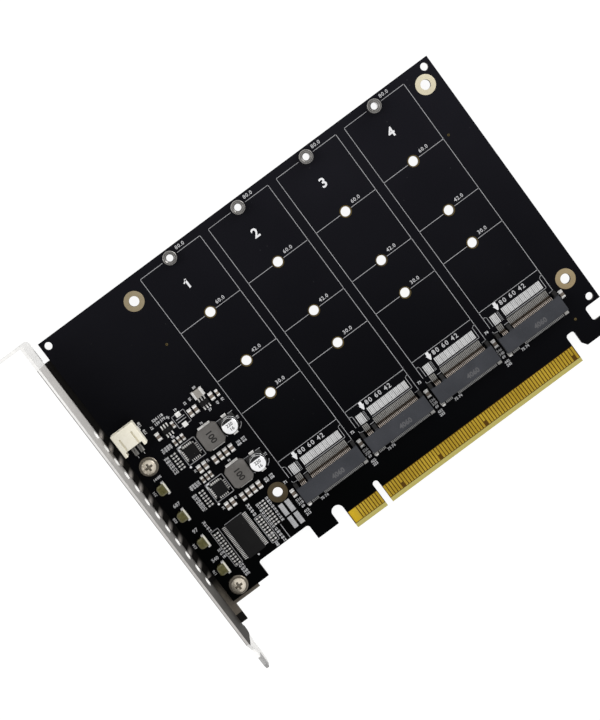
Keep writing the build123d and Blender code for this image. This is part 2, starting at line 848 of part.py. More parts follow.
# Controller: flat square package with its solder pads along four sides
with BuildPart() as controller:
    with BuildSketch(Plane.XY.offset(controller_pad_thickness)):
        Rectangle(controller_size, controller_size)
    extrude(amount=controller_height - controller_pad_thickness)
with BuildPart() as controller_pad_frame:
    with BuildSketch():
        for turn in range(4):
            with PolarLocations(controller_size / 2, 1, start_angle=90 * turn):
                for n in range(controller_pads):
                    offset_along = (n - (controller_pads - 1) / 2) * controller_pad_pitch
                    with Locations((0, offset_along)):
                        Rectangle(2 * controller_pad_reach, controller_pad_width)
    extrude(amount=controller_pad_thickness)

# Tall capacitor: rolled can with a crimped neck, on a moulded base with two cut corners
with BuildPart() as can:
    with BuildSketch(Plane.XZ):
        with BuildLine():
            Polyline(
                (0, can_base_height),
                (can_diameter / 2, can_base_height),
                (can_diameter / 2, can_neck_height - can_neck_depth),
                (can_diameter / 2 - can_neck_depth, can_neck_height),
                (can_diameter / 2, can_neck_height + can_neck_depth),
                (can_diameter / 2, can_height - can_rim),
            )
            ThreePointArc(
                (can_diameter / 2, can_height - can_rim),
                (can_diameter / 2 - can_rim * 0.3, can_height - can_rim * 0.3),
                (can_diameter / 2 - can_rim, can_height),
            )
            Polyline(
                (can_diameter / 2 - can_rim, can_height), (0, can_height), (0, can_base_height)
            )
        make_face()
    revolve(axis=Axis.Z)
with BuildPart() as can_base:
    with BuildSketch():
        Rectangle(can_base_size, can_base_size)
        chamfer(vertices().group_by(Axis.Y)[0], can_base_chamfer)
    extrude(amount=can_base_height)
with BuildPart() as can_leads:
    with BuildSketch():
        for end in (-1, 1):
            with Locations((0, end * (can_base_size + can_lead_reach) / 2)):
                Rectangle(can_lead_width, can_lead_reach)
    extrude(amount=can_lead_thickness)

for number, y in enumerate(converter_y, start=1):
    pieces = (
        ("choke", choke, choke_inset, y),
        ("choke_terminals", choke_terminals, choke_inset, y),
        ("controller", controller, controller_inset, y - controller_drop),
        ("controller_pads", controller_pad_frame, controller_inset, y - controller_drop),
        ("can", can, can_inset, y - can_drop),
        ("can_base", can_base, can_inset, y - can_drop),
        ("can_leads", can_leads, can_inset, y - can_drop),
    )
    for piece, builder, inset, line in pieces:
        placed = builder.part.moved(Location((board_left + inset, line, top)))
        placed.label = f"converter_{number}_{piece}"
        export_step(placed, f"parts/converter_{number}_{piece}.step")


# Clock buffer and its gull-wing leads
buffer_x = board_left + buffer_inset
with BuildPart() as clock_buffer:
    with BuildSketch(Plane.XY.offset(top + buffer_stand)):
        with Locations((buffer_x, buffer_y)):
            Rectangle(buffer_width, buffer_length)
    extrude(amount=buffer_height)
clock_buffer.part.label = "clock_buffer"
export_step(clock_buffer.part, "parts/clock_buffer.step")

# Lead section from the package's side at half its height down to the board
def lead_section(half_width, half_span, height, stand):
    middle = stand + height / 2
    knee = half_width + (half_span - half_width) * 0.45
    return (
        (half_width, middle),
        (knee, middle),
        (knee, lead_thickness),
        (half_span, lead_thickness),
        (half_span, 0),
        (knee - lead_thickness, 0),
        (knee - lead_thickness, middle - lead_thickness),
        (half_width, middle - lead_thickness),
        (half_width, middle),
    )


with BuildPart() as buffer_lead:
    with BuildSketch(Plane.XZ):
        with BuildLine():
            Polyline(*lead_section(buffer_width / 2, buffer_lead_span / 2, buffer_height, buffer_stand))
        make_face()
    extrude(amount=buffer_lead_width / 2, both=True)
with BuildPart() as clock_buffer_leads:
    with Locations((buffer_x, buffer_y, top)):
        with PolarLocations(0, 2):
            with GridLocations(0, buffer_lead_pitch, 1, buffer_leads):
                add(buffer_lead.part)
clock_buffer_leads.part.label = "clock_buffer_leads"
export_step(clock_buffer_leads.part, "parts/clock_buffer_leads.step")

# Small switch packages, leads on the sides that face up and down the card
with BuildPart() as switch_bodies:
    with BuildSketch(Plane.XY.offset(top + buffer_stand)):
        with Locations(*[(board_left + inset, y) for inset, y in switch_places]):
            Rectangle(switch_length, switch_width)
    extrude(amount=switch_height)
switch_bodies.part.label = "switch_bodies"
export_step(switch_bodies.part, "parts/switch_bodies.step")

with BuildPart() as switch_lead:
    with BuildSketch(Plane.XZ):
        with BuildLine():
            Polyline(*lead_section(switch_width / 2, switch_lead_span / 2, switch_height, buffer_stand))
        make_face()
    extrude(amount=switch_lead_width / 2, both=True)
with BuildPart() as switch_leads:
    for inset, y in switch_places:
        with Locations((board_left + inset, y, top)):
            with PolarLocations(0, 2, start_angle=90):
                with GridLocations(0, switch_lead_pitch, 1, 3):
                    add(switch_lead.part)
switch_leads.part.label = "switch_leads"
export_step(switch_leads.part, "parts/switch_leads.step")


# Chip parts. Each kind is one node of bodies and one of end caps
big_chip_places = [(board_left + inset, y) for inset, y in big_chips_above]
big_chip_places += [(x + column_pitch / 2, socket_chip_line) for x in column_x]
big_chip_places.append((column_x[0] - column_pitch / 2, socket_chip_line))
small_chip_places = [(board_left + inset, y) for inset, y in small_chips_above]
for y in converter_y:
    big_chip_places += [(board_left + inset, y - big_row_drop) for inset in big_chip_row]
    big_chip_places += [(board_left + inset, y - big_pair_drop) for inset in big_chip_pair]
    small_chip_places += [(board_left + inset, y + small_trio_rise) for inset in small_chip_trio]

chip_kinds = {
    "capacitor_large": (big_chip, big_chip_places, 0),
    "capacitor_small": (small_chip, small_chip_places, 0),
    "filter_choke": (filter_choke, [(board_left + filter_choke_inset, filter_choke_y)], 90),
}
for kind, ((length, width, height, cap), places, turn) in chip_kinds.items():
    spots = [Location((x, y, top), (0, 0, turn)) for x, y in places]
    with BuildPart() as chip_body:
        with Locations(*spots):
            Box(width, length - 2 * cap, height, align=(Align.CENTER, Align.CENTER, Align.MIN))
    chip_body.part.label = f"{kind}_bodies"
    export_step(chip_body.part, f"parts/{kind}_bodies.step")
    with BuildPart() as chip_caps:
        with Locations(*spots):
            for end in (-1, 1):
                with Locations((0, end * (length - cap) / 2, 0)):
                    Box(width, cap, height, align=(Align.CENTER, Align.CENTER, Align.MIN))
    chip_caps.part.label = f"{kind}_end_caps"
    export_step(chip_caps.part, f"parts/{kind}_end_caps.step")

# Chip resistors in their columns
resistor_places = [
    (board_left + inset, y - n * resistor_pitch)
    for inset, y, count in resistor_columns
    for n in range(count)
]
for y in converter_y:
    span = (converter_resistors - 1) * resistor_pitch
    resistor_places += [
        (
            board_left + converter_resistor_inset,
            y - controller_drop + span / 2 - n * resistor_pitch,
        )
        for n in range(converter_resistors)
    ]
with BuildPart() as chip_resistors:
    with BuildSketch(Plane.XY.offset(top)):
        with Locations(*resistor_places):
            Rectangle(resistor_length, resistor_width)
    extrude(amount=resistor_height)
chip_resistors.part.label = "chip_resistors"
export_step(chip_resistors.part, "parts/chip_resistors.step")
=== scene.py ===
import math

import bmesh
import bpy
from mathutils import Matrix, Vector


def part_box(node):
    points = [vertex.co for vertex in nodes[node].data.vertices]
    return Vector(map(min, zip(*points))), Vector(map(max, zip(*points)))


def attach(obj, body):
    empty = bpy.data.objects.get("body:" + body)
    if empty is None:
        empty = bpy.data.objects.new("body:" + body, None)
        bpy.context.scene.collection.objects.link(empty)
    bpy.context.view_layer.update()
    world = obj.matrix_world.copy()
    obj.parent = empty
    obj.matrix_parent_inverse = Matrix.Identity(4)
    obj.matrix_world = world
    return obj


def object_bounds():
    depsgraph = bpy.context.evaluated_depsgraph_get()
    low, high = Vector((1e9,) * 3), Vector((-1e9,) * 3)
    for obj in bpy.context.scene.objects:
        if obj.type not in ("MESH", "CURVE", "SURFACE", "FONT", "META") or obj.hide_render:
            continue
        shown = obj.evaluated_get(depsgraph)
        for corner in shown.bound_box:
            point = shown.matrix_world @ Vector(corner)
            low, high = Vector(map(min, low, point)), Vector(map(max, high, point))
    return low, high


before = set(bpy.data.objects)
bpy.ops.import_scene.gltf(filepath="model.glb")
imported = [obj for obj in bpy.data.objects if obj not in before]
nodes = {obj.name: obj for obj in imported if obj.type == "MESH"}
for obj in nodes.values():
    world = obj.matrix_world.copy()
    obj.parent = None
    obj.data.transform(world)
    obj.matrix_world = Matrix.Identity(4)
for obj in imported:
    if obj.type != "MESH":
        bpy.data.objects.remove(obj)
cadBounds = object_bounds()
mm = 0.001
scene = bpy.context.scene
print("frame loaded:", len(nodes), "nodes")

# everything that sits on the board is measured from these two corners of the CAD board
boardLow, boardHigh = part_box("circuit_board")
faceLevel = boardHigh.z
columnCentres = []
for number in range(1, 5):
    low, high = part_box(f"socket_{number}_housing")
    columnCentres.append((low.x + high.x) / 2 / mm)


# camera, floor and light
cameraSettings = {
    "place": (7.405, 107.814, 538.387),   # mm
    "turn": (-5.048, -3.277, -36.483),    # degrees
    "lens": 90.63,
}
cameraData = bpy.data.cameras.new("photoCamera")
cameraData.lens = cameraSettings["lens"]
cameraData.sensor_width = 36
cameraObject = bpy.data.objects.new("photoCamera", cameraData)
cameraObject.location = Vector(cameraSettings["place"]) * mm
cameraObject.rotation_euler = [math.radians(a) for a in cameraSettings["turn"]]
scene.collection.objects.link(cameraObject)
scene.camera = cameraObject
scene.view_settings.view_transform = "Standard"


def newMaterial(name):
    material = bpy.data.materials.new(name)
    material.use_nodes = True
    tree = material.node_tree
    shader = tree.nodes["Principled BSDF"]
    return material, tree, shader


floorSettings = {
    "drop": 0.15,          # mm under the lowest point
    "size": 2.4,
    "colour": (0.14, 0.14, 0.14, 1),
    "glow": 0.93,          # shown to the camera and to glossy and clear surfaces only
}
floorMesh = bpy.data.meshes.new("floor")
floorBm = bmesh.new()
bmesh.ops.create_grid(floorBm, x_segments=1, y_segments=1, size=floorSettings["size"] / 2)
bmesh.ops.translate(
    floorBm, verts=floorBm.verts,
    vec=(0, 0, cadBounds[0][2] - floorSettings["drop"] * mm),
)
floorBm.to_mesh(floorMesh)
floorBm.free()
floorObject = bpy.data.objects.new("floor", floorMesh)
scene.collection.objects.link(floorObject)
floorMaterial, floorTree, floorShader = newMaterial("floorPaper")
floorShader.inputs["Base Color"].default_value = floorSettings["colour"]
floorShader.inputs["Roughness"].default_value = 0.9
floorShader.inputs["Specular IOR Level"].default_value = 0.0
lightPath = floorTree.nodes.new("ShaderNodeLightPath")
seenOrGlossy = floorTree.nodes.new("ShaderNodeMath")
seenOrGlossy.operation = "MAXIMUM"
seenAtAll = floorTree.nodes.new("ShaderNodeMath")
seenAtAll.operation = "MAXIMUM"
floorGlow = floorTree.nodes.new("ShaderNodeMath")
floorGlow.operation = "MULTIPLY"
floorGlow.inputs[1].default_value = floorSettings["glow"]
floorTree.links.new(lightPath.outputs["Is Camera Ray"], seenOrGlossy.inputs[0])
floorTree.links.new(lightPath.outputs["Is Glossy Ray"], seenOrGlossy.inputs[1])
floorTree.links.new(seenOrGlossy.outputs[0], seenAtAll.inputs[0])
floorTree.links.new(lightPath.outputs["Is Transmission Ray"], seenAtAll.inputs[1])
floorTree.links.new(seenAtAll.outputs[0], floorGlow.inputs[0])
floorTree.links.new(floorGlow.outputs[0], floorShader.inputs["Emission Strength"])
floorShader.inputs["Emission Color"].default_value = (1, 1, 1, 1)
floorMesh.materials.append(floorMaterial)

lampSettings = {
    # name: place in m, width and height in m, watts
    "keyPanel": ((-0.75, 0.55, 0.65), (0.6, 0.6), 3.6),
    "sidePanel": ((0.95, 0.32, 0.24), (0.6, 0.4), 4.6),
}
for name, (place, size, watts) in lampSettings.items():
    lampData = bpy.data.lights.new(name, "AREA")
    lampData.shape = "RECTANGLE"
    lampData.size, lampData.size_y = size
    lampData.energy = watts
    lampObject = bpy.data.objects.new(name, lampData)
    lampObject.location = place
    lampObject.rotation_euler = (Vector((0.015, 0.04, 0)) - Vector(place)).to_track_quat("-Z", "Y").to_euler()
    scene.collection.objects.link(lampObject)

# bright on all sides, dark overhead where the camera and its stand are
skySettings = {"sides": 0.93, "overhead": 0.07, "darkTo": 0.9965, "brightFrom": 0.925,
               "darkCentre": (0.0, -0.04, 1.0)}
world = bpy.data.worlds.new("studio")
scene.world = world
world.use_nodes = True
sky = world.node_tree
skyCoordinate = sky.nodes.new("ShaderNodeTexCoord")
skyAngle = sky.nodes.new("ShaderNodeVectorMath")
skyAngle.operation = "DOT_PRODUCT"
skyAngle.inputs[1].default_value = Vector(skySettings["darkCentre"]).normalized()
skyRange = sky.nodes.new("ShaderNodeMapRange")
skyRange.interpolation_type = "SMOOTHSTEP"
skyRange.inputs["From Min"].default_value = skySettings["brightFrom"]
skyRange.inputs["From Max"].default_value = skySettings["darkTo"]
skyRange.inputs["To Min"].default_value = skySettings["sides"]
skyRange.inputs["To Max"].default_value = skySettings["overhead"]
sky.links.new(skyCoordinate.outputs["Generated"], skyAngle.inputs[0])
sky.links.new(skyAngle.outputs["Value"], skyRange.inputs["Value"])
sky.links.new(skyRange.outputs[0], sky.nodes["Background"].inputs["Strength"])
sky.nodes["Background"].inputs["Color"].default_value = (1, 1, 1, 1)
print("camera, floor and light set")


# effects that several materials share
def newGroup(name, inputs, outputs):
    group = bpy.data.node_groups.new(name, "ShaderNodeTree")
    for socketName, kind, value in inputs:
        socket = group.interface.new_socket(name=socketName, in_out="INPUT", socket_type=kind)
        if value is not None:
            socket.default_value = value
    for socketName, kind in outputs:
        group.interface.new_socket(name=socketName, in_out="OUTPUT", socket_type=kind)
    return group, group.nodes.new("NodeGroupInput"), group.nodes.new("NodeGroupOutput")


# cloudy change of tone, with a fine grain on top
mottleGroup, groupIn, groupOut = newGroup(
    "mottle",
    [("Vector", "NodeSocketVector", None), ("Dark", "NodeSocketColor", (0.1, 0.1, 0.1, 1)),
     ("Light", "NodeSocketColor", (0.2, 0.2, 0.2, 1)), ("Cloud Scale", "NodeSocketFloat", 200.0),
     ("Grain Scale", "NodeSocketFloat", 4000.0), ("Grain Share", "NodeSocketFloat", 0.4)],
    [("Color", "NodeSocketColor"), ("Height", "NodeSocketFloat")],
)
cloud = mottleGroup.nodes.new("ShaderNodeTexNoise")
grain = mottleGroup.nodes.new("ShaderNodeTexNoise")
blend = mottleGroup.nodes.new("ShaderNodeMix")
tone = mottleGroup.nodes.new("ShaderNodeMix")
tone.data_type = "RGBA"
stretch = mottleGroup.nodes.new("ShaderNodeMapRange")
stretch.inputs["From Min"].default_value = 0.3
stretch.inputs["From Max"].default_value = 0.7
cloud.inputs["Detail"].default_value = 3
grain.inputs["Detail"].default_value = 2
mottleGroup.links.new(groupIn.outputs["Vector"], cloud.inputs["Vector"])
mottleGroup.links.new(groupIn.outputs["Vector"], grain.inputs["Vector"])
mottleGroup.links.new(groupIn.outputs["Cloud Scale"], cloud.inputs["Scale"])
mottleGroup.links.new(groupIn.outputs["Grain Scale"], grain.inputs["Scale"])
mottleGroup.links.new(groupIn.outputs["Grain Share"], blend.inputs["Factor"])
mottleGroup.links.new(cloud.outputs["Fac"], blend.inputs["A"])
mottleGroup.links.new(grain.outputs["Fac"], blend.inputs["B"])
mottleGroup.links.new(blend.outputs["Result"], stretch.inputs["Value"])
mottleGroup.links.new(stretch.outputs[0], tone.inputs["Factor"])
mottleGroup.links.new(groupIn.outputs["Dark"], tone.inputs["A"])
mottleGroup.links.new(groupIn.outputs["Light"], tone.inputs["B"])
mottleGroup.links.new(tone.outputs["Result"], groupOut.inputs["Color"])
mottleGroup.links.new(grain.outputs["Fac"], groupOut.inputs["Height"])

# fine lines left by rolling or brushing, along one direction
rolledGroup, groupIn, groupOut = newGroup(
    "rolledLines",
    [("Vector", "NodeSocketVector", None), ("Stretch", "NodeSocketVector", (1, 1, 1)),
     ("Scale", "NodeSocketFloat", 2500.0), ("Low", "NodeSocketFloat", 0.2),
     ("High", "NodeSocketFloat", 0.35)],
    [("Value", "NodeSocketFloat"), ("Height", "NodeSocketFloat")],
)
pull = rolledGroup.nodes.new("ShaderNodeVectorMath")
pull.operation = "MULTIPLY"
lines = rolledGroup.nodes.new("ShaderNodeTexNoise")
lines.inputs["Detail"].default_value = 3
lineRange = rolledGroup.nodes.new("ShaderNodeMapRange")
lineRange.inputs["From Min"].default_value = 0.3
lineRange.inputs["From Max"].default_value = 0.7
rolledGroup.links.new(groupIn.outputs["Vector"], pull.inputs[0])
rolledGroup.links.new(groupIn.outputs["Stretch"], pull.inputs[1])
rolledGroup.links.new(pull.outputs[0], lines.inputs["Vector"])
rolledGroup.links.new(groupIn.outputs["Scale"], lines.inputs["Scale"])
rolledGroup.links.new(lines.outputs["Fac"], lineRange.inputs["Value"])
rolledGroup.links.new(groupIn.outputs["Low"], lineRange.inputs["To Min"])
rolledGroup.links.new(groupIn.outputs["High"], lineRange.inputs["To Max"])
rolledGroup.links.new(lineRange.outputs[0], groupOut.inputs["Value"])
rolledGroup.links.new(lines.outputs["Fac"], groupOut.inputs["Height"])

# scattered specks of dust
dustGroup, groupIn, groupOut = newGroup(
    "dust",
    [("Vector", "NodeSocketVector", None), ("Color", "NodeSocketColor", (0.1, 0.1, 0.1, 1)),
     ("Dust Color", "NodeSocketColor", (0.5, 0.5, 0.48, 1)), ("Scale", "NodeSocketFloat", 900.0),
     ("Size", "NodeSocketFloat", 0.1), ("Amount", "NodeSocketFloat", 0.25)],
    [("Color", "NodeSocketColor"), ("Mask", "NodeSocketFloat")],
)
specks = dustGroup.nodes.new("ShaderNodeTexVoronoi")
thin = dustGroup.nodes.new("ShaderNodeMath")
thin.operation = "LESS_THAN"
some = dustGroup.nodes.new("ShaderNodeMath")
some.operation = "GREATER_THAN"
some.inputs[1].default_value = 0.8
pick = dustGroup.nodes.new("ShaderNodeSeparateColor")
both = dustGroup.nodes.new("ShaderNodeMath")
both.operation = "MULTIPLY"
weak = dustGroup.nodes.new("ShaderNodeMath")
weak.operation = "MULTIPLY"
dustMix = dustGroup.nodes.new("ShaderNodeMix")
dustMix.data_type = "RGBA"
dustGroup.links.new(groupIn.outputs["Vector"], specks.inputs["Vector"])
dustGroup.links.new(groupIn.outputs["Scale"], specks.inputs["Scale"])
dustGroup.links.new(specks.outputs["Distance"], thin.inputs[0])
dustGroup.links.new(groupIn.outputs["Size"], thin.inputs[1])
dustGroup.links.new(specks.outputs["Color"], pick.inputs[0])
dustGroup.links.new(pick.outputs[0], some.inputs[0])
dustGroup.links.new(thin.outputs[0], both.inputs[0])
dustGroup.links.new(some.outputs[0], both.inputs[1])
dustGroup.links.new(both.outputs[0], weak.inputs[0])
dustGroup.links.new(groupIn.outputs["Amount"], weak.inputs[1])
dustGroup.links.new(weak.outputs[0], dustMix.inputs["Factor"])
dustGroup.links.new(groupIn.outputs["Color"], dustMix.inputs["A"])
dustGroup.links.new(groupIn.outputs["Dust Color"], dustMix.inputs["B"])
dustGroup.links.new(dustMix.outputs["Result"], groupOut.inputs["Color"])
dustGroup.links.new(both.outputs[0], groupOut.inputs["Mask"])

# edges that catch the light, by a normal that is rounded over a small radius
softEdgeGroup, groupIn, groupOut = newGroup(
    "softEdge",
    [("Height", "NodeSocketFloat", 0.5),
     ("Strength", "NodeSocketFloat", 0.1), ("Distance", "NodeSocketFloat", 0.00005)],
    [("Normal", "NodeSocketVector")],
)
roundEdge = softEdgeGroup.nodes.new("ShaderNodeBevel")
roundEdge.samples = 4
roundEdge.inputs["Radius"].default_value = 0.00012
surface = softEdgeGroup.nodes.new("ShaderNodeBump")
softEdgeGroup.links.new(roundEdge.outputs[0], surface.inputs["Normal"])
softEdgeGroup.links.new(groupIn.outputs["Height"], surface.inputs["Height"])
softEdgeGroup.links.new(groupIn.outputs["Strength"], surface.inputs["Strength"])
softEdgeGroup.links.new(groupIn.outputs["Distance"], surface.inputs["Distance"])
softEdgeGroup.links.new(surface.outputs[0], groupOut.inputs["Normal"])


def placeGroup(tree, group, values):
    node = tree.nodes.new("ShaderNodeGroup")
    node.node_tree = group
    for key, value in values.items():
        node.inputs[key].default_value = value
    return node


def objectCoordinates(tree):
    coordinate = tree.nodes.new("ShaderNodeTexCoord")
    mapping = tree.nodes.new("ShaderNodeMapping")
    tree.links.new(coordinate.outputs["Object"], mapping.inputs["Vector"])
    return mapping.outputs["Vector"]


# matt or glossy moulding, ceramic or ink: mottled colour, grain in the surface and a little dust
def mouldedMaterial(name, dark, light, roughness, specular=0.4, cloud=300, grain=5000,
                    bump=0.15, depth=0.00003, dust=0.0):
    material, tree, shader = newMaterial(name)
    vector = objectCoordinates(tree)
    mottle = placeGroup(tree, mottleGroup, {
        "Dark": (*dark, 1), "Light": (*light, 1), "Cloud Scale": cloud, "Grain Scale": grain,
    })
    tree.links.new(vector, mottle.inputs["Vector"])
    colour = mottle.outputs["Color"]
    if dust:
        specks = placeGroup(tree, dustGroup, {"Amount": dust})
        tree.links.new(vector, specks.inputs["Vector"])
        tree.links.new(colour, specks.inputs["Color"])
        colour = specks.outputs["Color"]
    tree.links.new(colour, shader.inputs["Base Color"])
    edge = placeGroup(tree, softEdgeGroup, {"Strength": bump, "Distance": depth})
    tree.links.new(mottle.outputs["Height"], edge.inputs["Height"])
    tree.links.new(edge.outputs["Normal"], shader.inputs["Normal"])
    shader.inputs["Roughness"].default_value = roughness
    shader.inputs["Specular IOR Level"].default_value = specular
    return material, tree, shader, vector, colour


# plated or bare metal: rolled lines in its gloss, a slight change of tone
def platedMaterial(name, dark, light, low, high, stretch=(1, 0.08, 1), scale=2500, bump=0.12,
                   depth=0.00002, cloud=120, metallic=1.0, specular=0.3):
    material, tree, shader = newMaterial(name)
    vector = objectCoordinates(tree)
    mottle = placeGroup(tree, mottleGroup, {
        "Dark": (*dark, 1), "Light": (*light, 1), "Cloud Scale": cloud, "Grain Share": 0.15,
    })
    rolled = placeGroup(tree, rolledGroup, {
        "Stretch": stretch, "Scale": scale, "Low": low, "High": high,
    })
    edge = placeGroup(tree, softEdgeGroup, {"Strength": bump, "Distance": depth})
    tree.links.new(vector, mottle.inputs["Vector"])
    tree.links.new(vector, rolled.inputs["Vector"])
    tree.links.new(mottle.outputs["Color"], shader.inputs["Base Color"])
    tree.links.new(rolled.outputs["Value"], shader.inputs["Roughness"])
    tree.links.new(rolled.outputs["Height"], edge.inputs["Height"])
    tree.links.new(edge.outputs["Normal"], shader.inputs["Normal"])
    shader.inputs["Metallic"].default_value = metallic
    shader.inputs["Specular IOR Level"].default_value = specular
    return material, tree, shader, vector, mottle


# board: black resist over a woven laminate, bare at the sides and between the contacts
boardSettings = {
    "resistDark": (0.0080, 0.0078, 0.0108, 1),
    "resistLight": (0.0118, 0.0114, 0.0152, 1),
    # painted shade: the resist darkens towards the corner beside the bracket, along shadeRise
    "resistShade": (0.0002, 0.0004, 0.0005, 1),   # in the corner beside the bracket
    "shadeRise": (0.4, 1.0, 0.0), "shadeFrom": 8, "shadeTo": 135,   # mm, along that direction
    "laminate": (0.085, 0.042, 0.006, 1),
    "bevelColour": (0.46, 0.40, 0.125, 1),
    "sideColour": (0.030, 0.022, 0.014, 1),
    "contactTop": 5.75,
    "bevelTop": 1.4,
    "roughness": 0.4,
    "specular": 0.03,
}
boardMaterial, tree, shader = newMaterial("blackResist")
vector = objectCoordinates(tree)
mottle = placeGroup(tree, mottleGroup, {
    "Dark": boardSettings["resistDark"], "Light": boardSettings["resistLight"],
    "Cloud Scale": 35.0, "Grain Scale": 2600.0, "Grain Share": 0.35,
})
tree.links.new(vector, mottle.inputs["Vector"])
dusted = placeGroup(tree, dustGroup, {"Scale": 420.0, "Size": 0.06, "Amount": 0.05})
tree.links.new(vector, dusted.inputs["Vector"])
tree.links.new(mottle.outputs["Color"], dusted.inputs["Color"])
split = tree.nodes.new("ShaderNodeSeparateXYZ")
tree.links.new(vector, split.inputs[0])
shadeWay = tree.nodes.new("ShaderNodeVectorMath")
shadeWay.operation = "DOT_PRODUCT"
shadeWay.inputs[1].default_value = boardSettings["shadeRise"]
tree.links.new(vector, shadeWay.inputs[0])
shade = tree.nodes.new("ShaderNodeMapRange")
shade.inputs["From Min"].default_value = boardSettings["shadeFrom"] * mm
shade.inputs["From Max"].default_value = boardSettings["shadeTo"] * mm
tree.links.new(shadeWay.outputs["Value"], shade.inputs["Value"])


def compare(tree, value, operation, threshold):
    node = tree.nodes.new("ShaderNodeMath")
    node.operation = operation
    tree.links.new(value, node.inputs[0])
    node.inputs[1].default_value = threshold
    return node.outputs[0]


def mixColours(tree, factor, first, second):
    node = tree.nodes.new("ShaderNodeMix")
    node.data_type = "RGBA"
    tree.links.new(factor, node.inputs["Factor"])
    for socketName, colour in (("A", first), ("B", second)):
        if isinstance(colour, tuple):
            node.inputs[socketName].default_value = colour
        else:
            tree.links.new(colour, node.inputs[socketName])
    return node.outputs["Result"]


def tintShader(tree, tone, mottled, shader):
    node = tree.nodes.new("ShaderNodeMix")
    node.data_type = "RGBA"
    node.blend_type = "MULTIPLY"
    node.inputs["Factor"].default_value = 1
    tree.links.new(tone, node.inputs["A"])
    tree.links.new(mottled, node.inputs["B"])
    tree.links.new(node.outputs["Result"], shader.inputs["Base Color"])


def multiply(tree, first, second):
    node = tree.nodes.new("ShaderNodeMath")
    node.operation = "MULTIPLY"
    tree.links.new(first, node.inputs[0])
    tree.links.new(second, node.inputs[1])
    return node.outputs[0]


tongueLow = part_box("edge_contacts_front")[0].x - 0.0006
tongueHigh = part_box("edge_contacts_front")[1].x + 0.0006
onTongue = multiply(
    tree,
    compare(tree, split.outputs["X"], "GREATER_THAN", tongueLow),
    compare(tree, split.outputs["X"], "LESS_THAN", tongueHigh),
)
bare = multiply(tree, onTongue, compare(tree, split.outputs["Y"], "LESS_THAN",
                                        boardSettings["contactTop"] * mm))
bevelled = multiply(tree, onTongue, compare(tree, split.outputs["Y"], "LESS_THAN",
                                            boardSettings["bevelTop"] * mm))
geometry = tree.nodes.new("ShaderNodeNewGeometry")
normalSplit = tree.nodes.new("ShaderNodeSeparateXYZ")
tree.links.new(geometry.outputs["True Normal"], normalSplit.inputs[0])
steepness = tree.nodes.new("ShaderNodeMath")
steepness.operation = "ABSOLUTE"
tree.links.new(normalSplit.outputs["Z"], steepness.inputs[0])
side = compare(tree, steepness.outputs[0], "LESS_THAN", 0.3)
# painted shade: resistShade mixed in towards the corner beside the bracket
colour = mixColours(tree, shade.outputs[0], boardSettings["resistShade"], dusted.outputs["Color"])
colour = mixColours(tree, side, colour, boardSettings["sideColour"])
colour = mixColours(tree, bare, colour, boardSettings["laminate"])
colour = mixColours(tree, bevelled, colour, boardSettings["bevelColour"])
tree.links.new(colour, shader.inputs["Base Color"])
# glass cloth that shows faintly through the resist
weaveX = tree.nodes.new("ShaderNodeTexWave")
weaveX.bands_direction = "X"
weaveY = tree.nodes.new("ShaderNodeTexWave")
weaveY.bands_direction = "Y"
for wave in (weaveX, weaveY):
    wave.inputs["Scale"].default_value = 620
    wave.inputs["Distortion"].default_value = 1.5
    tree.links.new(vector, wave.inputs["Vector"])
cloth = multiply(tree, weaveX.outputs["Fac"], weaveY.outputs["Fac"])
edge = placeGroup(tree, softEdgeGroup, {"Strength": 0.05, "Distance": 0.00002})
tree.links.new(cloth, edge.inputs["Height"])
tree.links.new(edge.outputs["Normal"], shader.inputs["Normal"])
shader.inputs["Roughness"].default_value = boardSettings["roughness"]
shader.inputs["Specular IOR Level"].default_value = boardSettings["specular"]

# metals
contactGold, goldTree, goldShader, goldVector, goldMottle = platedMaterial(
    "contactGold", (0.78, 0.75, 0.60), (1.18, 1.20, 1.20), 0.3, 0.45,
                                 stretch=(1, 0.1, 1), scale=3000, cloud=90, metallic=0.4, specular=0.1)
nickelScrew, screwTree, screwShader, screwVector, screwMottle = platedMaterial(
    "nickelScrew", (0.72, 0.72, 0.72), (1.0, 1.0, 1.0), 0.20, 0.30,
                                 stretch=(1, 1, 1), scale=500, bump=0.03, cloud=250, metallic=0.5)
nickelStandoff, *_ = platedMaterial("nickelStandoff", (0.27, 0.26, 0.25), (0.35, 0.34, 0.325),
                                    0.2, 0.3, stretch=(1, 1, 1), scale=300, bump=0.0, cloud=150,
                                    metallic=0.8)
tinPlate, *_ = platedMaterial("tinPlate", (0.56, 0.55, 0.53), (0.80, 0.79, 0.77), 0.3, 0.45,
                              stretch=(1, 1, 1), scale=900, bump=0.08, cloud=400, metallic=0.3)
capTin, *_ = platedMaterial("capTin", (0.70, 0.69, 0.67), (0.95, 0.94, 0.92), 0.3, 0.45,
                            stretch=(1, 1, 1), scale=900, bump=0.08, cloud=400, metallic=0.15)
ringGold, *_ = platedMaterial("ringGold", (0.060, 0.042, 0.012), (0.16, 0.115, 0.036), 0.3, 0.5,
                              stretch=(1, 1, 1), scale=900, cloud=60, metallic=0.4)
solderDull, *_ = platedMaterial("solderDull", (0.31, 0.305, 0.29), (0.50, 0.49, 0.47), 0.35, 0.5,
                                stretch=(1, 1, 1), scale=700, bump=0.2, cloud=500, metallic=0.2)
solderTin, *_ = platedMaterial("solderTin", (0.70, 0.69, 0.67), (0.97, 0.96, 0.94), 0.2, 0.38,
                               stretch=(1, 1, 1), scale=700, bump=0.2, cloud=600, metallic=0.15)
ringCopper, ringTree, ringShader, ringVector, ringMottle = platedMaterial(
    "ringCopper", (0.8, 0.8, 0.8), (1.0, 1.0, 1.0), 0.35, 0.5, stretch=(1, 1, 1), scale=900, cloud=40,
    metallic=0.25)
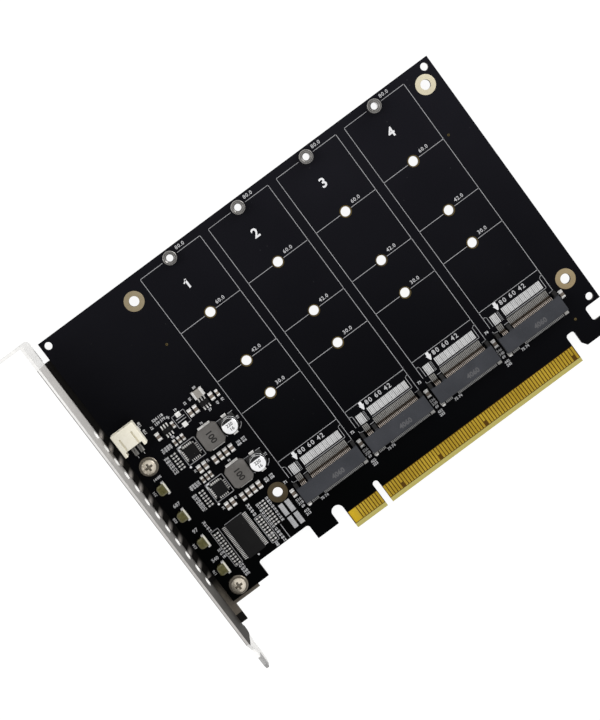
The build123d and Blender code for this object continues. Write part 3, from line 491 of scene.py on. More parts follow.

# spring pins, with light and shade painted along them: pale crests with a painted highlight at the socket's
# mouth, a painted brown shadow behind them, grey feet
springPlate, springTree, springShader, springVector, springMottle = platedMaterial(
    "springPlate", (0.75, 0.75, 0.75), (1.0, 1.0, 1.0), 0.3, 0.45, stretch=(1, 1, 1), scale=900,
    bump=0.05, cloud=400, metallic=0.3)
springLightAndShade = ((15.0, (0.37, 0.37, 0.37, 1)), (19.5, (0.30, 0.26, 0.22, 1)), (20.3, (0.80, 0.70, 0.62, 1)),
               (21.5, (0.80, 0.70, 0.62, 1)), (21.75, (0.085, 0.060, 0.040, 1)),
               (22.05, (0.085, 0.060, 0.040, 1)), (22.35, (0.36, 0.35, 0.33, 1)))
springSplit = springTree.nodes.new("ShaderNodeSeparateXYZ")
springTree.links.new(springVector, springSplit.inputs[0])
springWay = springTree.nodes.new("ShaderNodeMapRange")
springWay.inputs["From Min"].default_value = 14 * mm
springWay.inputs["From Max"].default_value = 25 * mm
springTree.links.new(springSplit.outputs["Y"], springWay.inputs["Value"])
springRamp = springTree.nodes.new("ShaderNodeValToRGB")
stops = springRamp.color_ramp.elements
for n, (y, tone) in enumerate(springLightAndShade):
    stop = stops[n] if n < 2 else stops.new(1)
    stop.position = (y - 14) / 11
    stop.color = tone
springTree.links.new(springWay.outputs[0], springRamp.inputs["Fac"])
tintShader(springTree, springRamp.outputs["Color"], springMottle.outputs["Color"], springShader)

# bracket: polished nickel sheet, its tones a painted reflection of the studio mirrored in it along its
# length, with painted light and shade
nickelSheet, sheetTree, sheetShader, sheetVector, sheetMottle = platedMaterial(
    "nickelSheet", (0.86, 0.86, 0.86), (1.0, 1.0, 1.0), 0.10, 0.20, stretch=(1, 0.3, 1),
    scale=1400, bump=0.02, cloud=1100, specular=0.03)
# tones of the painted reflection, light and shade on the bracket
sheetSettings = {
    "plain": (1.0, 0.99, 0.97, 1), "outer": (0.62, 0.61, 0.59, 1),
    "edgeFrom": 16.6,                            # mm, the cut edge that faces the camera
    "edgeLow": (0.52, 0.50, 0.48, 1), "edgeHigh": (0.90, 0.89, 0.87, 1), "edgeRise": (35, 85),
    "edgeLine": -58.32, "edgeLineTone": (0.30, 0.29, 0.28, 1),
    "innerLow": (0.038, 0.035, 0.031, 1), "innerHigh": (0.69, 0.67, 0.645, 1), "innerRise": (0, 85),
    "innerRange": (-6.2, 95.6),
    "tongueBelow": -11.2, "tongueAbove": 7.0, "tongueTone": (0.43, 0.425, 0.42, 1),
    "lipBelow": -0.2, "lipDark": (0.014, 0.013, 0.012, 1), "lipVentReflection": (0.95, 0.88, 0.82, 1),
    "lipFoot": (0.19, 0.165, 0.135, 1), "footFrom": 0.4, "footFade": (8, 13),
    "spotPitch": 4.9, "spotShift": 0.1, "spotRange": (14.5, 72), "spotSlant": -0.9,
    "spotFade": (-57.4, -56.0), "spotRise": (10, 72),
}
k = sheetSettings
sheetSplit = sheetTree.nodes.new("ShaderNodeSeparateXYZ")
sheetTree.links.new(sheetVector, sheetSplit.inputs[0])
sheetGeometry = sheetTree.nodes.new("ShaderNodeNewGeometry")
sheetFacing = sheetTree.nodes.new("ShaderNodeSeparateXYZ")
sheetTree.links.new(sheetGeometry.outputs["True Normal"], sheetFacing.inputs[0])


def rise(tree, value, start, end, low=0.0, high=1.0):
    node = tree.nodes.new("ShaderNodeMapRange")
    for socketName, setting in (("From Min", start), ("From Max", end), ("To Min", low), ("To Max", high)):
        node.inputs[socketName].default_value = setting
    tree.links.new(value, node.inputs["Value"])
    return node.outputs[0]


def within(tree, value, low, high):
    return multiply(tree, compare(tree, value, "GREATER_THAN", low), compare(tree, value, "LESS_THAN", high))


sheetY = sheetSplit.outputs["Y"]
onEdge = compare(sheetTree, sheetSplit.outputs["Z"], "GREATER_THAN", k["edgeFrom"] * mm)
onInner = multiply(sheetTree, compare(sheetTree, sheetFacing.outputs["X"], "GREATER_THAN", 0.2),
                   within(sheetTree, sheetY, *(y * mm for y in k["innerRange"])))
onLip = multiply(sheetTree, compare(sheetTree, sheetSplit.outputs["Z"], "LESS_THAN", k["lipBelow"] * mm),
                 compare(sheetTree, sheetFacing.outputs["Z"], "GREATER_THAN", 0.5))
# painted reflection: the cut edge grows lighter along its length, with a painted darker line along its outer
# side
edgeTone = mixColours(sheetTree, rise(sheetTree, sheetY, *(y * mm for y in k["edgeRise"])),
                      k["edgeLow"], k["edgeHigh"])
onLine = multiply(sheetTree, compare(sheetTree, sheetSplit.outputs["X"], "LESS_THAN", k["edgeLine"] * mm),
                  compare(sheetTree, sheetY, "LESS_THAN", k["innerRange"][1] * mm))
edgeTone = mixColours(sheetTree, onLine, edgeTone, k["edgeLineTone"])
# painted light and shade: the inner face is dark at its low end and bright towards its high end
innerTone = mixColours(sheetTree, rise(sheetTree, sheetY, *(y * mm for y in k["innerRise"])),
                       k["innerLow"], k["innerHigh"])
# painted reflection of the vents: slanted bright patches repeating along the dark lip
slanted = sheetTree.nodes.new("ShaderNodeVectorMath")
slanted.operation = "DOT_PRODUCT"
slanted.inputs[1].default_value = (k["spotSlant"], 1, 0)
sheetTree.links.new(sheetVector, slanted.inputs[0])
shifted = sheetTree.nodes.new("ShaderNodeMath")
shifted.operation = "ADD"
shifted.inputs[1].default_value = k["spotShift"] * mm
sheetTree.links.new(slanted.outputs["Value"], shifted.inputs[0])
spotWave = sheetTree.nodes.new("ShaderNodeMath")
spotWave.operation = "PINGPONG"
spotWave.inputs[1].default_value = k["spotPitch"] / 2 * mm
sheetTree.links.new(shifted.outputs[0], spotWave.inputs[0])
ventReflection = multiply(sheetTree, rise(sheetTree, spotWave.outputs[0], k["spotPitch"] * 0.24 * mm,
                                 k["spotPitch"] * 0.48 * mm),
                 within(sheetTree, sheetY, *(y * mm for y in k["spotRange"])))
ventReflection = multiply(sheetTree, ventReflection, rise(sheetTree, sheetSplit.outputs["X"],
                                        *(x * mm for x in k["spotFade"]), 1.0, 0.0))
ventReflection = multiply(sheetTree, ventReflection, rise(sheetTree, sheetY, *(y * mm for y in k["spotRise"]), 0.55, 1.0))
lipTone = mixColours(sheetTree, ventReflection, k["lipDark"], k["lipVentReflection"])
# painted light: a lighter band on the lip near its foot end
foot = multiply(sheetTree, compare(sheetTree, sheetY, "GREATER_THAN", k["footFrom"] * mm),
                rise(sheetTree, sheetY, *(y * mm for y in k["footFade"]), 1.0, 0.0))
lipTone = mixColours(sheetTree, foot, lipTone, k["lipFoot"])
onTongue = multiply(sheetTree, compare(sheetTree, sheetY, "LESS_THAN", k["tongueBelow"] * mm),
                    compare(sheetTree, sheetSplit.outputs["Z"], "GREATER_THAN", k["tongueAbove"] * mm))
# only the sides turned away from the camera are left as bare polished plating; the others are matt and carry
# the painted reflection
polished = sheetTree.nodes.new("ShaderNodeMath")
polished.operation = "MAXIMUM"
for slot, axis in enumerate("XZ"):
    sheetTree.links.new(compare(sheetTree, sheetFacing.outputs[axis], "LESS_THAN", -0.5),
                        polished.inputs[slot])
plainTone = mixColours(sheetTree, polished.outputs[0], k["plain"], k["outer"])
plainTone = mixColours(sheetTree, onTongue, plainTone, k["tongueTone"])
sheetTone = mixColours(sheetTree, onInner, plainTone, innerTone)
sheetTone = mixColours(sheetTree, onLip, sheetTone, lipTone)
sheetTone = mixColours(sheetTree, onEdge, sheetTone, edgeTone)
tintShader(sheetTree, sheetTone, sheetMottle.outputs["Color"], sheetShader)
sheetTree.links.new(rise(sheetTree, polished.outputs[0], 0, 1, 0.05, 1.0), sheetShader.inputs["Metallic"])
sheetTree.links.new(rise(sheetTree, polished.outputs[0], 0, 1, 0.55, 0.15), sheetShader.inputs["Roughness"])

# painted light and shade: the screw heads darken from the crown to the rim
screwLightAndShade = {"rim": (0.20, 0.175, 0.14, 1), "crown": (0.86, 0.78, 0.65, 1), "from": 1.2, "to": 2.7}
screwSplit = screwTree.nodes.new("ShaderNodeSeparateXYZ")
screwTree.links.new(screwVector, screwSplit.inputs[0])
screwShare = rise(screwTree, screwSplit.outputs["Z"], screwLightAndShade["from"] * mm, screwLightAndShade["to"] * mm)
tintShader(screwTree, mixColours(screwTree, screwShare, screwLightAndShade["rim"], screwLightAndShade["crown"]),
           screwMottle.outputs["Color"], screwShader)

# the contacts on the bracket's side of the key slot catch more light
goldTones = {"near": (0.60, 0.395, 0.022, 1), "far": (0.50, 0.335, 0.034, 1), "from": -10.5, "to": -9.0}
goldSplit = goldTree.nodes.new("ShaderNodeSeparateXYZ")
goldTree.links.new(goldVector, goldSplit.inputs[0])
goldShare = rise(goldTree, goldSplit.outputs["X"], goldTones["from"] * mm, goldTones["to"] * mm)
tintShader(goldTree, mixColours(goldTree, goldShare, goldTones["near"], goldTones["far"]),
           goldMottle.outputs["Color"], goldShader)

# painted reflection: the copper rings brighten from the bracket's end of the connector to the far top corner
ringPaintedReflection = {
    "lowLeft": (0.050, 0.035, 0.014, 1), "lowRight": (0.35, 0.265, 0.145, 1),
    "highLeft": (0.32, 0.26, 0.16, 1), "highRight": (0.78, 0.71, 0.52, 1),
}
ringLow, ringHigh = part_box("hole_rings")
ringSplit = ringTree.nodes.new("ShaderNodeSeparateXYZ")
ringTree.links.new(ringVector, ringSplit.inputs[0])
ringShares = []
for axis, start, end in (("X", ringLow.x, ringHigh.x), ("Y", ringLow.y, ringHigh.y)):
    share = ringTree.nodes.new("ShaderNodeMapRange")
    share.inputs["From Min"].default_value = start
    share.inputs["From Max"].default_value = end
    ringTree.links.new(ringSplit.outputs[axis], share.inputs["Value"])
    ringShares.append(share.outputs[0])
ringRows = [mixColours(ringTree, ringShares[0], ringPaintedReflection[f"{row}Left"], ringPaintedReflection[f"{row}Right"])
            for row in ("low", "high")]
ringBlend = mixColours(ringTree, ringShares[1], *ringRows)
tintShader(ringTree, ringBlend, ringMottle.outputs["Color"], ringShader)

# rolled can: bright, with a black sector printed on the far side of its top
canMaterial, tree, shader, vector, mottle = platedMaterial(
    "rolledCan", (0.80, 0.80, 0.81), (0.97, 0.97, 0.98), 0.16, 0.3, stretch=(1, 1, 0.1), scale=900)
# the rolled side mirrors the board, the top is matt
canFacing = tree.nodes.new("ShaderNodeSeparateXYZ")
canGeometry = tree.nodes.new("ShaderNodeNewGeometry")
tree.links.new(canGeometry.outputs["True Normal"], canFacing.inputs[0])
tree.links.new(rise(tree, canFacing.outputs["Z"], 0.5, 0.95, 1.0, 0.1), shader.inputs["Metallic"])
print("shared effects and metals ready")

# mouldings and ceramics
socketPlastic, tree, shader, vector, colour = mouldedMaterial(
    "socketPlastic", (0.026, 0.028, 0.033), (0.046, 0.048, 0.056), 0.5, specular=0.2, cloud=160,
    grain=3000, bump=0.15, dust=0.1)
# the arms beside the mouth lie in the shade of the roof
socketShade = {"from": 21.2, "colour": (0.014, 0.0135, 0.0135, 1)}
split = tree.nodes.new("ShaderNodeSeparateXYZ")
tree.links.new(vector, split.inputs[0])
tree.links.new(mixColours(tree, compare(tree, split.outputs["Y"], "GREATER_THAN", socketShade["from"] * mm),
                          colour, socketShade["colour"]), shader.inputs["Base Color"])
headerPlastic, *_ = mouldedMaterial("headerPlastic", (0.86, 0.81, 0.66), (0.97, 0.94, 0.82),
                                    0.45, cloud=260, grain=5000, bump=0.15, dust=0.1)
lensResin, tree, shader, *_ = mouldedMaterial("lensResin", (0.070, 0.064, 0.018),
                                              (0.17, 0.155, 0.058), 0.12, specular=0.6, cloud=700,
                                              grain=3000, bump=0.05)
shader.inputs["Coat Weight"].default_value = 0.5
shader.inputs["Subsurface Weight"].default_value = 0.0
lampMoulding, tree, shader, vector, colour = mouldedMaterial(
    "lampMoulding", (0.74, 0.72, 0.60), (0.90, 0.88, 0.78), 0.5, cloud=500, bump=0.1)
# painted shade: its side towards the lens is darkened and takes the lens's colour
lampShade = {"below": -51.02, "colour": (0.14, 0.13, 0.055, 1)}
split = tree.nodes.new("ShaderNodeSeparateXYZ")
tree.links.new(vector, split.inputs[0])
tree.links.new(mixColours(tree, compare(tree, split.outputs["X"], "LESS_THAN", lampShade["below"] * mm),
                          colour, lampShade["colour"]), shader.inputs["Base Color"])
chokePowder, *_ = mouldedMaterial("chokePowder", (0.092, 0.086, 0.080), (0.145, 0.137, 0.130),
                                  0.62, specular=0.2, cloud=240, grain=7000, bump=0.35,
                                  depth=0.00004, dust=0.1)
blackBase, *_ = mouldedMaterial("blackBase", (0.010, 0.010, 0.010), (0.018, 0.018, 0.018), 0.5,
                                bump=0.2)
packageEpoxy, *_ = mouldedMaterial("packageEpoxy", (0.0035, 0.0034, 0.0036), (0.0068, 0.0066, 0.0068),
                                   0.55, specular=0.12, cloud=220, grain=4000, bump=0.2, dust=0.1)
ceramicTan, *_ = mouldedMaterial("ceramicTan", (0.125, 0.10, 0.08), (0.225, 0.185, 0.15), 0.4,
                                 cloud=500, bump=0.15)
ceramicGrey, *_ = mouldedMaterial("ceramicGrey", (0.20, 0.185, 0.165), (0.32, 0.30, 0.27), 0.45,
                                  cloud=500, bump=0.2)
resistorMaterial, resistorTree, resistorShader, resistorVector, resistorColour = mouldedMaterial(
    "resistorGlaze", (0.010, 0.010, 0.012), (0.020, 0.020, 0.023), 0.3, bump=0.1)
printInk, *_ = mouldedMaterial("printInk", (0.66, 0.66, 0.67), (0.82, 0.82, 0.83), 0.6,
                               specular=0.1, cloud=350, grain=2500, bump=0.1)
textInk, *_ = mouldedMaterial("textInk", (0.41, 0.41, 0.42), (0.58, 0.58, 0.59), 0.6,
                              specular=0.1, cloud=250, grain=2500, bump=0.1)
thinInk, *_ = mouldedMaterial("thinInk", (0.30, 0.30, 0.31), (0.46, 0.46, 0.47), 0.6,
                              specular=0.1, cloud=250, grain=2500, bump=0.1)
combInk, *_ = mouldedMaterial("combInk", (0.50, 0.50, 0.50), (0.66, 0.66, 0.66), 0.6,
                              specular=0.1, cloud=500, grain=2500, bump=0.1)
canInk, *_ = mouldedMaterial("canInk", (0.10, 0.10, 0.10), (0.17, 0.17, 0.17), 0.6,
                             specular=0.1, bump=0.1)
roofMark, *_ = mouldedMaterial("roofMark", (0.085, 0.085, 0.09), (0.115, 0.115, 0.12), 0.6,
                               specular=0.1, bump=0.1)
sectorInk, *_ = mouldedMaterial("sectorInk", (0.006, 0.006, 0.006), (0.014, 0.014, 0.014), 0.45,
                                specular=0.3, bump=0.1)
markInk, *_ = mouldedMaterial("markInk", (0.010, 0.009, 0.009), (0.018, 0.017, 0.016), 0.6,
                              specular=0.2, bump=0.1)

nodeMaterials = {
    "circuit_board": boardMaterial,
    "edge_contacts_front": contactGold,
    "edge_contacts_back": contactGold,
    "hole_rings": ringCopper,
    "standoffs": nickelStandoff,
    "bracket": nickelSheet,
    "bracket_screws": nickelScrew,
    "fan_header_housing": headerPlastic,
    "fan_header_pins": nickelStandoff,
    "fan_header_tabs": tinPlate,
    "lamp_terminals": tinPlate,
    "clock_buffer": packageEpoxy,
    "clock_buffer_leads": tinPlate,
    "switch_bodies": packageEpoxy,
    "switch_leads": tinPlate,
    "capacitor_large_bodies": ceramicTan,
    "capacitor_large_end_caps": capTin,
    "capacitor_small_bodies": ceramicTan,
    "capacitor_small_end_caps": capTin,
    "filter_choke_bodies": ceramicGrey,
    "filter_choke_end_caps": tinPlate,
    "chip_resistors": resistorMaterial,
}
for number in range(1, 5):
    nodeMaterials[f"socket_{number}_housing"] = socketPlastic
    nodeMaterials[f"socket_{number}_lower_pins"] = springPlate
    nodeMaterials[f"socket_{number}_upper_pins"] = springPlate
    nodeMaterials[f"socket_{number}_solder_tabs"] = solderDull
    nodeMaterials[f"lamp_{number}_lens"] = lensResin
    nodeMaterials[f"lamp_{number}_base"] = lampMoulding
for number in (1, 2):
    nodeMaterials[f"converter_{number}_choke"] = chokePowder
    nodeMaterials[f"converter_{number}_choke_terminals"] = tinPlate
    nodeMaterials[f"converter_{number}_controller"] = packageEpoxy
    nodeMaterials[f"converter_{number}_controller_pads"] = tinPlate
    nodeMaterials[f"converter_{number}_can"] = canMaterial
    nodeMaterials[f"converter_{number}_can_base"] = blackBase
    nodeMaterials[f"converter_{number}_can_leads"] = tinPlate
for name, node in nodes.items():
    node.data.materials.clear()
    node.data.materials.append(nodeMaterials[name])
print("materials on", len(nodeMaterials), "nodes")


# helpers for the pieces that scene.py adds, in mm from the CAD's origin
face = faceLevel / mm
inkHeight = 0.012


def addBlock(bm, centre, size, turn=0.0):
    place = (Matrix.Translation(Vector(centre) * mm) @ Matrix.Rotation(math.radians(turn), 4, "Z")
             @ Matrix.Diagonal((*(Vector(size) * mm), 1)))
    return bmesh.ops.create_cube(bm, size=1, matrix=place)["verts"]


def addBar(bm, left, low, right, high, level=face, height=inkHeight):
    return addBlock(bm, ((left + right) / 2, (low + high) / 2, level + height / 2),
                    (right - left, high - low, height))


def addPath(bm, points, width, level=face, height=inkHeight):
    for start, end in zip(points, points[1:]):
        run = Vector(end) - Vector(start)
        middle = (Vector(start) + Vector(end)) / 2
        addBlock(bm, (middle.x, middle.y, level + height / 2), (run.length + width, width, height),
                 math.degrees(math.atan2(run.y, run.x)))


def addFrame(bm, left, low, right, high, width):
    addPath(bm, ((left, low), (right, low), (right, high), (left, high), (left, low)), width)


def addDisc(bm, x, y, radius, level=face, height=inkHeight, sides=24):
    bmesh.ops.create_cone(bm, cap_ends=True, segments=sides, radius1=radius * mm,
                          radius2=radius * mm, depth=height * mm,
                          matrix=Matrix.Translation(Vector((x, y, level + height / 2)) * mm))


# flat ring, its square section spun once round
def addRing(bm, x, y, inner, outer, level, height, sides=32):
    section = [bm.verts.new(Vector((x + r, y, level + h)) * mm)
               for r, h in ((inner, 0), (outer, 0), (outer, height), (inner, height))]
    edges = [bm.edges.new((section[i - 1], section[i])) for i in range(4)]
    bmesh.ops.spin(bm, geom=section + edges, cent=Vector((x, y, 0)) * mm, axis=(0, 0, 1),
                   angle=math.tau, steps=sides, use_merge=True, use_duplicate=False)


numberCurve = bpy.data.curves.new("numbers", "FONT")
numberCurve.align_x = "CENTER"
numberCurve.align_y = "CENTER"
numberObject = bpy.data.objects.new("numbers", numberCurve)
scene.collection.objects.link(numberObject)


# plain numbers, made a mesh before they are put in place; height is that of one digit
def addNumber(bm, text, x, y, height, turn=0.0, weight=0.0, level=face, spacing=1.0):
    numberCurve.body = text
    numberCurve.size = height / 0.7 * mm
    numberCurve.offset = weight * mm
    numberCurve.space_character = spacing
    numberCurve.resolution_u = 3 if height > 1.5 else 2
    numberCurve.extrude = inkHeight / 2 * mm
    bpy.context.view_layer.update()
    graph = bpy.context.evaluated_depsgraph_get()
    digits = bpy.data.meshes.new_from_object(numberObject.evaluated_get(graph))
    digits.transform(Matrix.Translation(Vector((x, y, level + inkHeight / 2)) * mm)
                     @ Matrix.Rotation(math.radians(turn), 4, "Z"))
    bm.from_mesh(digits)
    bpy.data.meshes.remove(digits)


# lowest and highest corners, in mm, of each solid of a CAD node, read from a merged copy
def solidBoxes(nodeName):
    bm = bmesh.new()
    bm.from_mesh(nodes[nodeName].data)
    bmesh.ops.remove_doubles(bm, verts=bm.verts, dist=0.002 * mm)
    unseen = set(bm.verts)
    boxes = []
    while unseen:
        waiting = [unseen.pop()]
        found = []
        while waiting:
            vert = waiting.pop()
            found.append(vert.co / mm)
            for edge in vert.link_edges:
                other = edge.other_vert(vert)
                if other in unseen:
                    unseen.remove(other)
                    waiting.append(other)
        boxes.append(tuple(Vector([pick(co[i] for co in found) for i in range(3)])
                           for pick in (min, max)))
    bm.free()
    return sorted(boxes, key=lambda box: (round(box[0].x, 2), round(box[0].y, 2)))


def middle(box):
    return (box[0] + box[1]) / 2


# direction in which a lead or an end cap points away from the body that it belongs to
def awayFrom(box, carriers):
    carrier = min(carriers, key=lambda c: (middle(c).xy - middle(box).xy).length)
    offset = middle(box) - middle(carrier)
    half = (carrier[1] - carrier[0]) / 2
    if abs(offset.x) / half.x > abs(offset.y) / half.y:
        return Vector((math.copysign(1, offset.x), 0))
    return Vector((0, math.copysign(1, offset.y)))


def addPiece(name, bm, material, body="root"):
    bmesh.ops.recalc_face_normals(bm, faces=bm.faces)
    mesh = bpy.data.meshes.new(name)
    bm.to_mesh(mesh)
    bm.free()
    mesh.materials.append(material)
    piece = bpy.data.objects.new(name, mesh)
    scene.collection.objects.link(piece)
    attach(piece, body)
    return piece


# white print round the four module places
placePrint = {
    "line": 0.17,
    "left": -10.9, "right": 11.05,          # from a socket's middle
    "rows": (98.7, 78.7, 60.7, 48.7),
    "holeRoom": (2.75, 2.1, 2.1, 2.1),
    "leftLow": 24.8, "rightLow": 22.0, "crossLow": 30.5,
    "digitPlace": (-0.3, 89.4), "digitHeight": 2.9,
    "lengths": ("80.0", "60.0", "42.0", "30.0"), "lengthPlace": (4.5, 1.3), "lengthHeight": 1.15,
    "combPitch": 0.5, "combShare": 0.86,
    "combs": ((-9.1, 24.45, -6.75, 27.65), (-4.85, 25.0, 9.35, 27.65)),
    "arrow": -5.55, "arrowTip": 27.8, "arrowWide": 29.4, "arrowTop": 30.5,
    "sizes": "80 60 42", "sizesPlace": (0.5, 29.1), "sizesHeight": 1.45,
}
p = placePrint
lineBm = bmesh.new()
textBm = bmesh.new()
boldBm = bmesh.new()
combBm = bmesh.new()
for number, cx in enumerate(columnCentres, start=1):
    left, right = cx + p["left"], cx + p["right"]
    addPath(lineBm, ((left, p["rows"][0]), (left, p["leftLow"])), p["line"])
    addPath(lineBm, ((right, p["rows"][0]), (right, p["rightLow"])), p["line"])
    for y, room, text in zip(p["rows"], p["holeRoom"], p["lengths"]):
        addPath(lineBm, ((left, y), (cx - room, y)), p["line"])
        addPath(lineBm, ((cx + room, y), (right, y)), p["line"])
        addNumber(textBm, text, cx + p["lengthPlace"][0], y + p["lengthPlace"][1],
                  p["lengthHeight"], weight=0.02, spacing=1.12)
    x, y = cx + p["digitPlace"][0], p["digitPlace"][1]
    addNumber(boldBm, str(number), x, y, p["digitHeight"], weight=0.1)
    if number == 1:
        addPath(boldBm, ((x - 0.75, y + 0.75), (x, y + 1.25)), 0.42)
    # contact end of a module, with two fields of bars inside it
    addPath(lineBm, ((left, p["crossLow"]), (right, p["crossLow"])), p["line"])
    addPath(lineBm, ((left, 28.4), (cx - 10.1, 28.3), (cx - 9.8, 27.9), (cx - 9.8, 24.7)), p["line"])
    addPath(lineBm, ((right, 28.5), (cx + 10.3, 28.4), (cx + 9.95, 28.0), (cx + 9.95, 24.5),
                     (cx - 4.85, 24.5)), p["line"])
    addPath(lineBm, ((left, 23.4), (left + 0.15, 22.8), (left + 1.5, 22.6)), p["line"])
    addPath(lineBm, ((cx + 9.7, 22.7), (right, 22.7)), p["line"])
    addPath(lineBm, ((cx - 6.4, 24.45), (cx - 6.4, 27.5), (cx - 6.0, 27.5), (cx - 6.0, 24.45)), 0.12)
    addPath(lineBm, ((cx - 6.7, 23.05), (cx - 5.3, 23.05)), 0.2)
    for low, bottom, high, top in p["combs"]:
        count = round((high - low) / p["combPitch"])
        step = (high - low) / count
        for n in range(count):
            start = cx + low + n * step
            addBar(combBm, start, bottom, start + step * (p["combShare"] - 0.12 * (n % 3 == 0)), top)
    # arrow that points down at the key
    x, tip, wide = cx + p["arrow"], p["arrowTip"], p["arrowWide"]
    addBar(boldBm, x - 0.5, wide, x + 0.5, p["arrowTop"])
    for vert in addBar(boldBm, x - 0.85, tip, x + 0.85, wide):
        if vert.co.y < (tip + 0.6) * mm:
            vert.co.x = (x + (vert.co.x / mm - x) * 0.2) * mm
    addNumber(textBm, p["sizes"], cx + p["sizesPlace"][0], p["sizesPlace"][1], p["sizesHeight"],
              weight=0.03, spacing=1.28)
    # numbers of the pins at the socket's end, and of the chips on its left
    for text, dx, y, height in (("75", -6.4, 13.7, 0.85), ("74", -4.9, 13.7, 0.85),
                                (str(70 + number), -12.5, 24.3, 0.85), (f"{50 + number}6", -12.5, 17.7, 0.85),
                                (f"{30 + number}8", -12.5, 16.5, 0.85), ("69", -12.5, 15.3, 0.8),
                                (f"{40 + number}2", -12.5, 13.6, 0.8), (f"{20 + number}3", -12.5, 12.5, 0.8)):
        addNumber(textBm, text, cx + dx, y, height, weight=0.04)

# white print among the parts, beside the bracket; the second converter repeats the first
converterStep = -13.95
partsPrint = {
    "line": 0.17,
    # left, low, right, high
    "frames": ((-37.1, 56.2, -32.8, 60.4), (-35.6, 14.2, -33.1, 21.1), (-35.6, 11.7, -33.1, 14.0),
               (-48.65, 12.7, -46.05, 25.4)),
    "bars": ((-36.5, 58.7, -33.5, 58.95), (-36.5, 57.8, -33.5, 58.05), (-43.9, 24.8, -37.6, 25.0),
             (-30.4, 10.0, -30.2, 15.0), (-27.6, 15.9, -26.1, 19.9), (-25.3, 15.9, -23.7, 19.9),
             (-27.6, 11.3, -26.1, 15.3), (-25.3, 11.3, -23.7, 15.3)),
    # numbers in rows and columns: left, low, right, high, columns, rows, height, turn, digits
    "fields": (
        (-50.35, 16.6, -48.5, 20.3, 1, 3, 0.72, 0, 3), (-49.2, 25.5, -47.5, 29.6, 1, 4, 0.75, 0, 2),
        (-48.1, 8.4, -46.1, 12.5, 1, 4, 0.78, 0, 3), (-35.4, 21.5, -34.0, 26.0, 1, 4, 0.8, 0, 2),
        (-35.2, 10.0, -33.9, 11.7, 1, 2, 0.7, 0, 2), (-32.9, 15.2, -31.8, 24.3, 1, 9, 0.7, 0, 2),
        (-29.5, 15.2, -28.3, 24.3, 1, 9, 0.7, 0, 2), (-32.7, 9.8, -31.4, 15.1, 1, 5, 0.75, 0, 2),
        (-42.6, 60.8, -38.5, 63.4, 2, 2, 0.85, 0, 3), (-44.1, 60.4, -43.1, 62.3, 1, 1, 0.75, 90, 2),
        (-46.4, 60.3, -45.5, 65.8, 1, 2, 0.75, 90, 3), (-53.5, 47.4, -49.4, 49.0, 1, 1, 0.8, 0, 5),
        (-53.4, 37.6, -49.9, 39.1, 1, 1, 1.1, 0, 3), (-53.0, 27.8, -50.8, 29.7, 1, 1, 1.2, 0, 2),
        (-53.7, 17.4, -50.9, 19.0, 1, 1, 1.1, 0, 3), (-22.0, 55.0, -21.1, 56.6, 1, 1, 0.75, 90, 2),
        (-23.8, 55.0, -22.9, 56.6, 1, 1, 0.75, 90, 2), (-31.8, 60.6, -30.8, 62.2, 1, 1, 0.75, 90, 2),
        (-29.9, 60.7, -28.9, 62.4, 1, 1, 0.75, 90, 2), (-27.2, 63.1, -25.6, 64.0, 1, 1, 0.75, 0, 2),
        (-27.2, 55.0, -25.6, 55.9, 1, 1, 0.75, 0, 2), (-41.2, 55.0, -39.4, 55.9, 1, 1, 0.75, 0, 2),
        (-35.6, 61.1, -34.2, 62.0, 1, 1, 0.75, 0, 2), (-38.7, 60.3, -37.3, 61.8, 1, 1, 0.8, -45, 2),
        (-52.8, 56.3, -51.2, 57.1, 1, 1, 0.6, 0, 1), (-50.6, 56.3, -49.0, 57.1, 1, 1, 0.6, 0, 1),
        (-55.3, 44.0, -54.3, 45.8, 1, 1, 0.8, 90, 3), (-55.3, 33.9, -54.3, 35.7, 1, 1, 0.8, 90, 3),
        (-55.3, 24.1, -54.3, 25.9, 1, 1, 0.8, 90, 3), (-55.3, 14.1, -54.3, 15.9, 1, 1, 0.8, 90, 3),
    ),
    "converterFields": (
        (-46.75, 45.7, -44.8, 51.7, 1, 6, 0.75, 0, 3), (-45.6, 52.6, -41.9, 54.7, 4, 1, 0.75, 90, 3),
        (-26.5, 41.4, -22.8, 43.1, 2, 2, 0.65, 0, 3), (-41.4, 42.4, -40.5, 44.0, 1, 1, 0.7, 90, 2),
        (-31.7, 53.3, -30.3, 54.1, 1, 1, 0.65, 0, 2), (-36.5, 42.6, -35.7, 44.6, 1, 1, 0.7, 90, 2),
        (-21.7, 47.9, -20.7, 49.6, 1, 1, 0.8, 90, 2),
    ),
    "converterPaths": (
        ((-27.3, 51.35), (-25.7, 51.35)), ((-23.0, 51.35), (-21.5, 51.35)),
        ((-21.2, 47.0), (-21.6, 46.3), (-22.6, 45.6)), ((-27.5, 46.6), (-27.0, 45.9)),
    ),
}
serial = 10


def addField(bm, field, shift=0.0):
    global serial
    left, low, right, high, columns, rows, height, turn, digits = field
    for column in range(columns):
        for row in range(rows):
            serial = serial * 7 % 9973 + 11
            text = str(10 ** (digits - 1) + serial % (9 * 10 ** (digits - 1)))
            addNumber(bm, text, left + (column + 0.5) * (right - left) / columns,
                      low + shift + (row + 0.5) * (high - low) / rows, height, turn, 0.035)


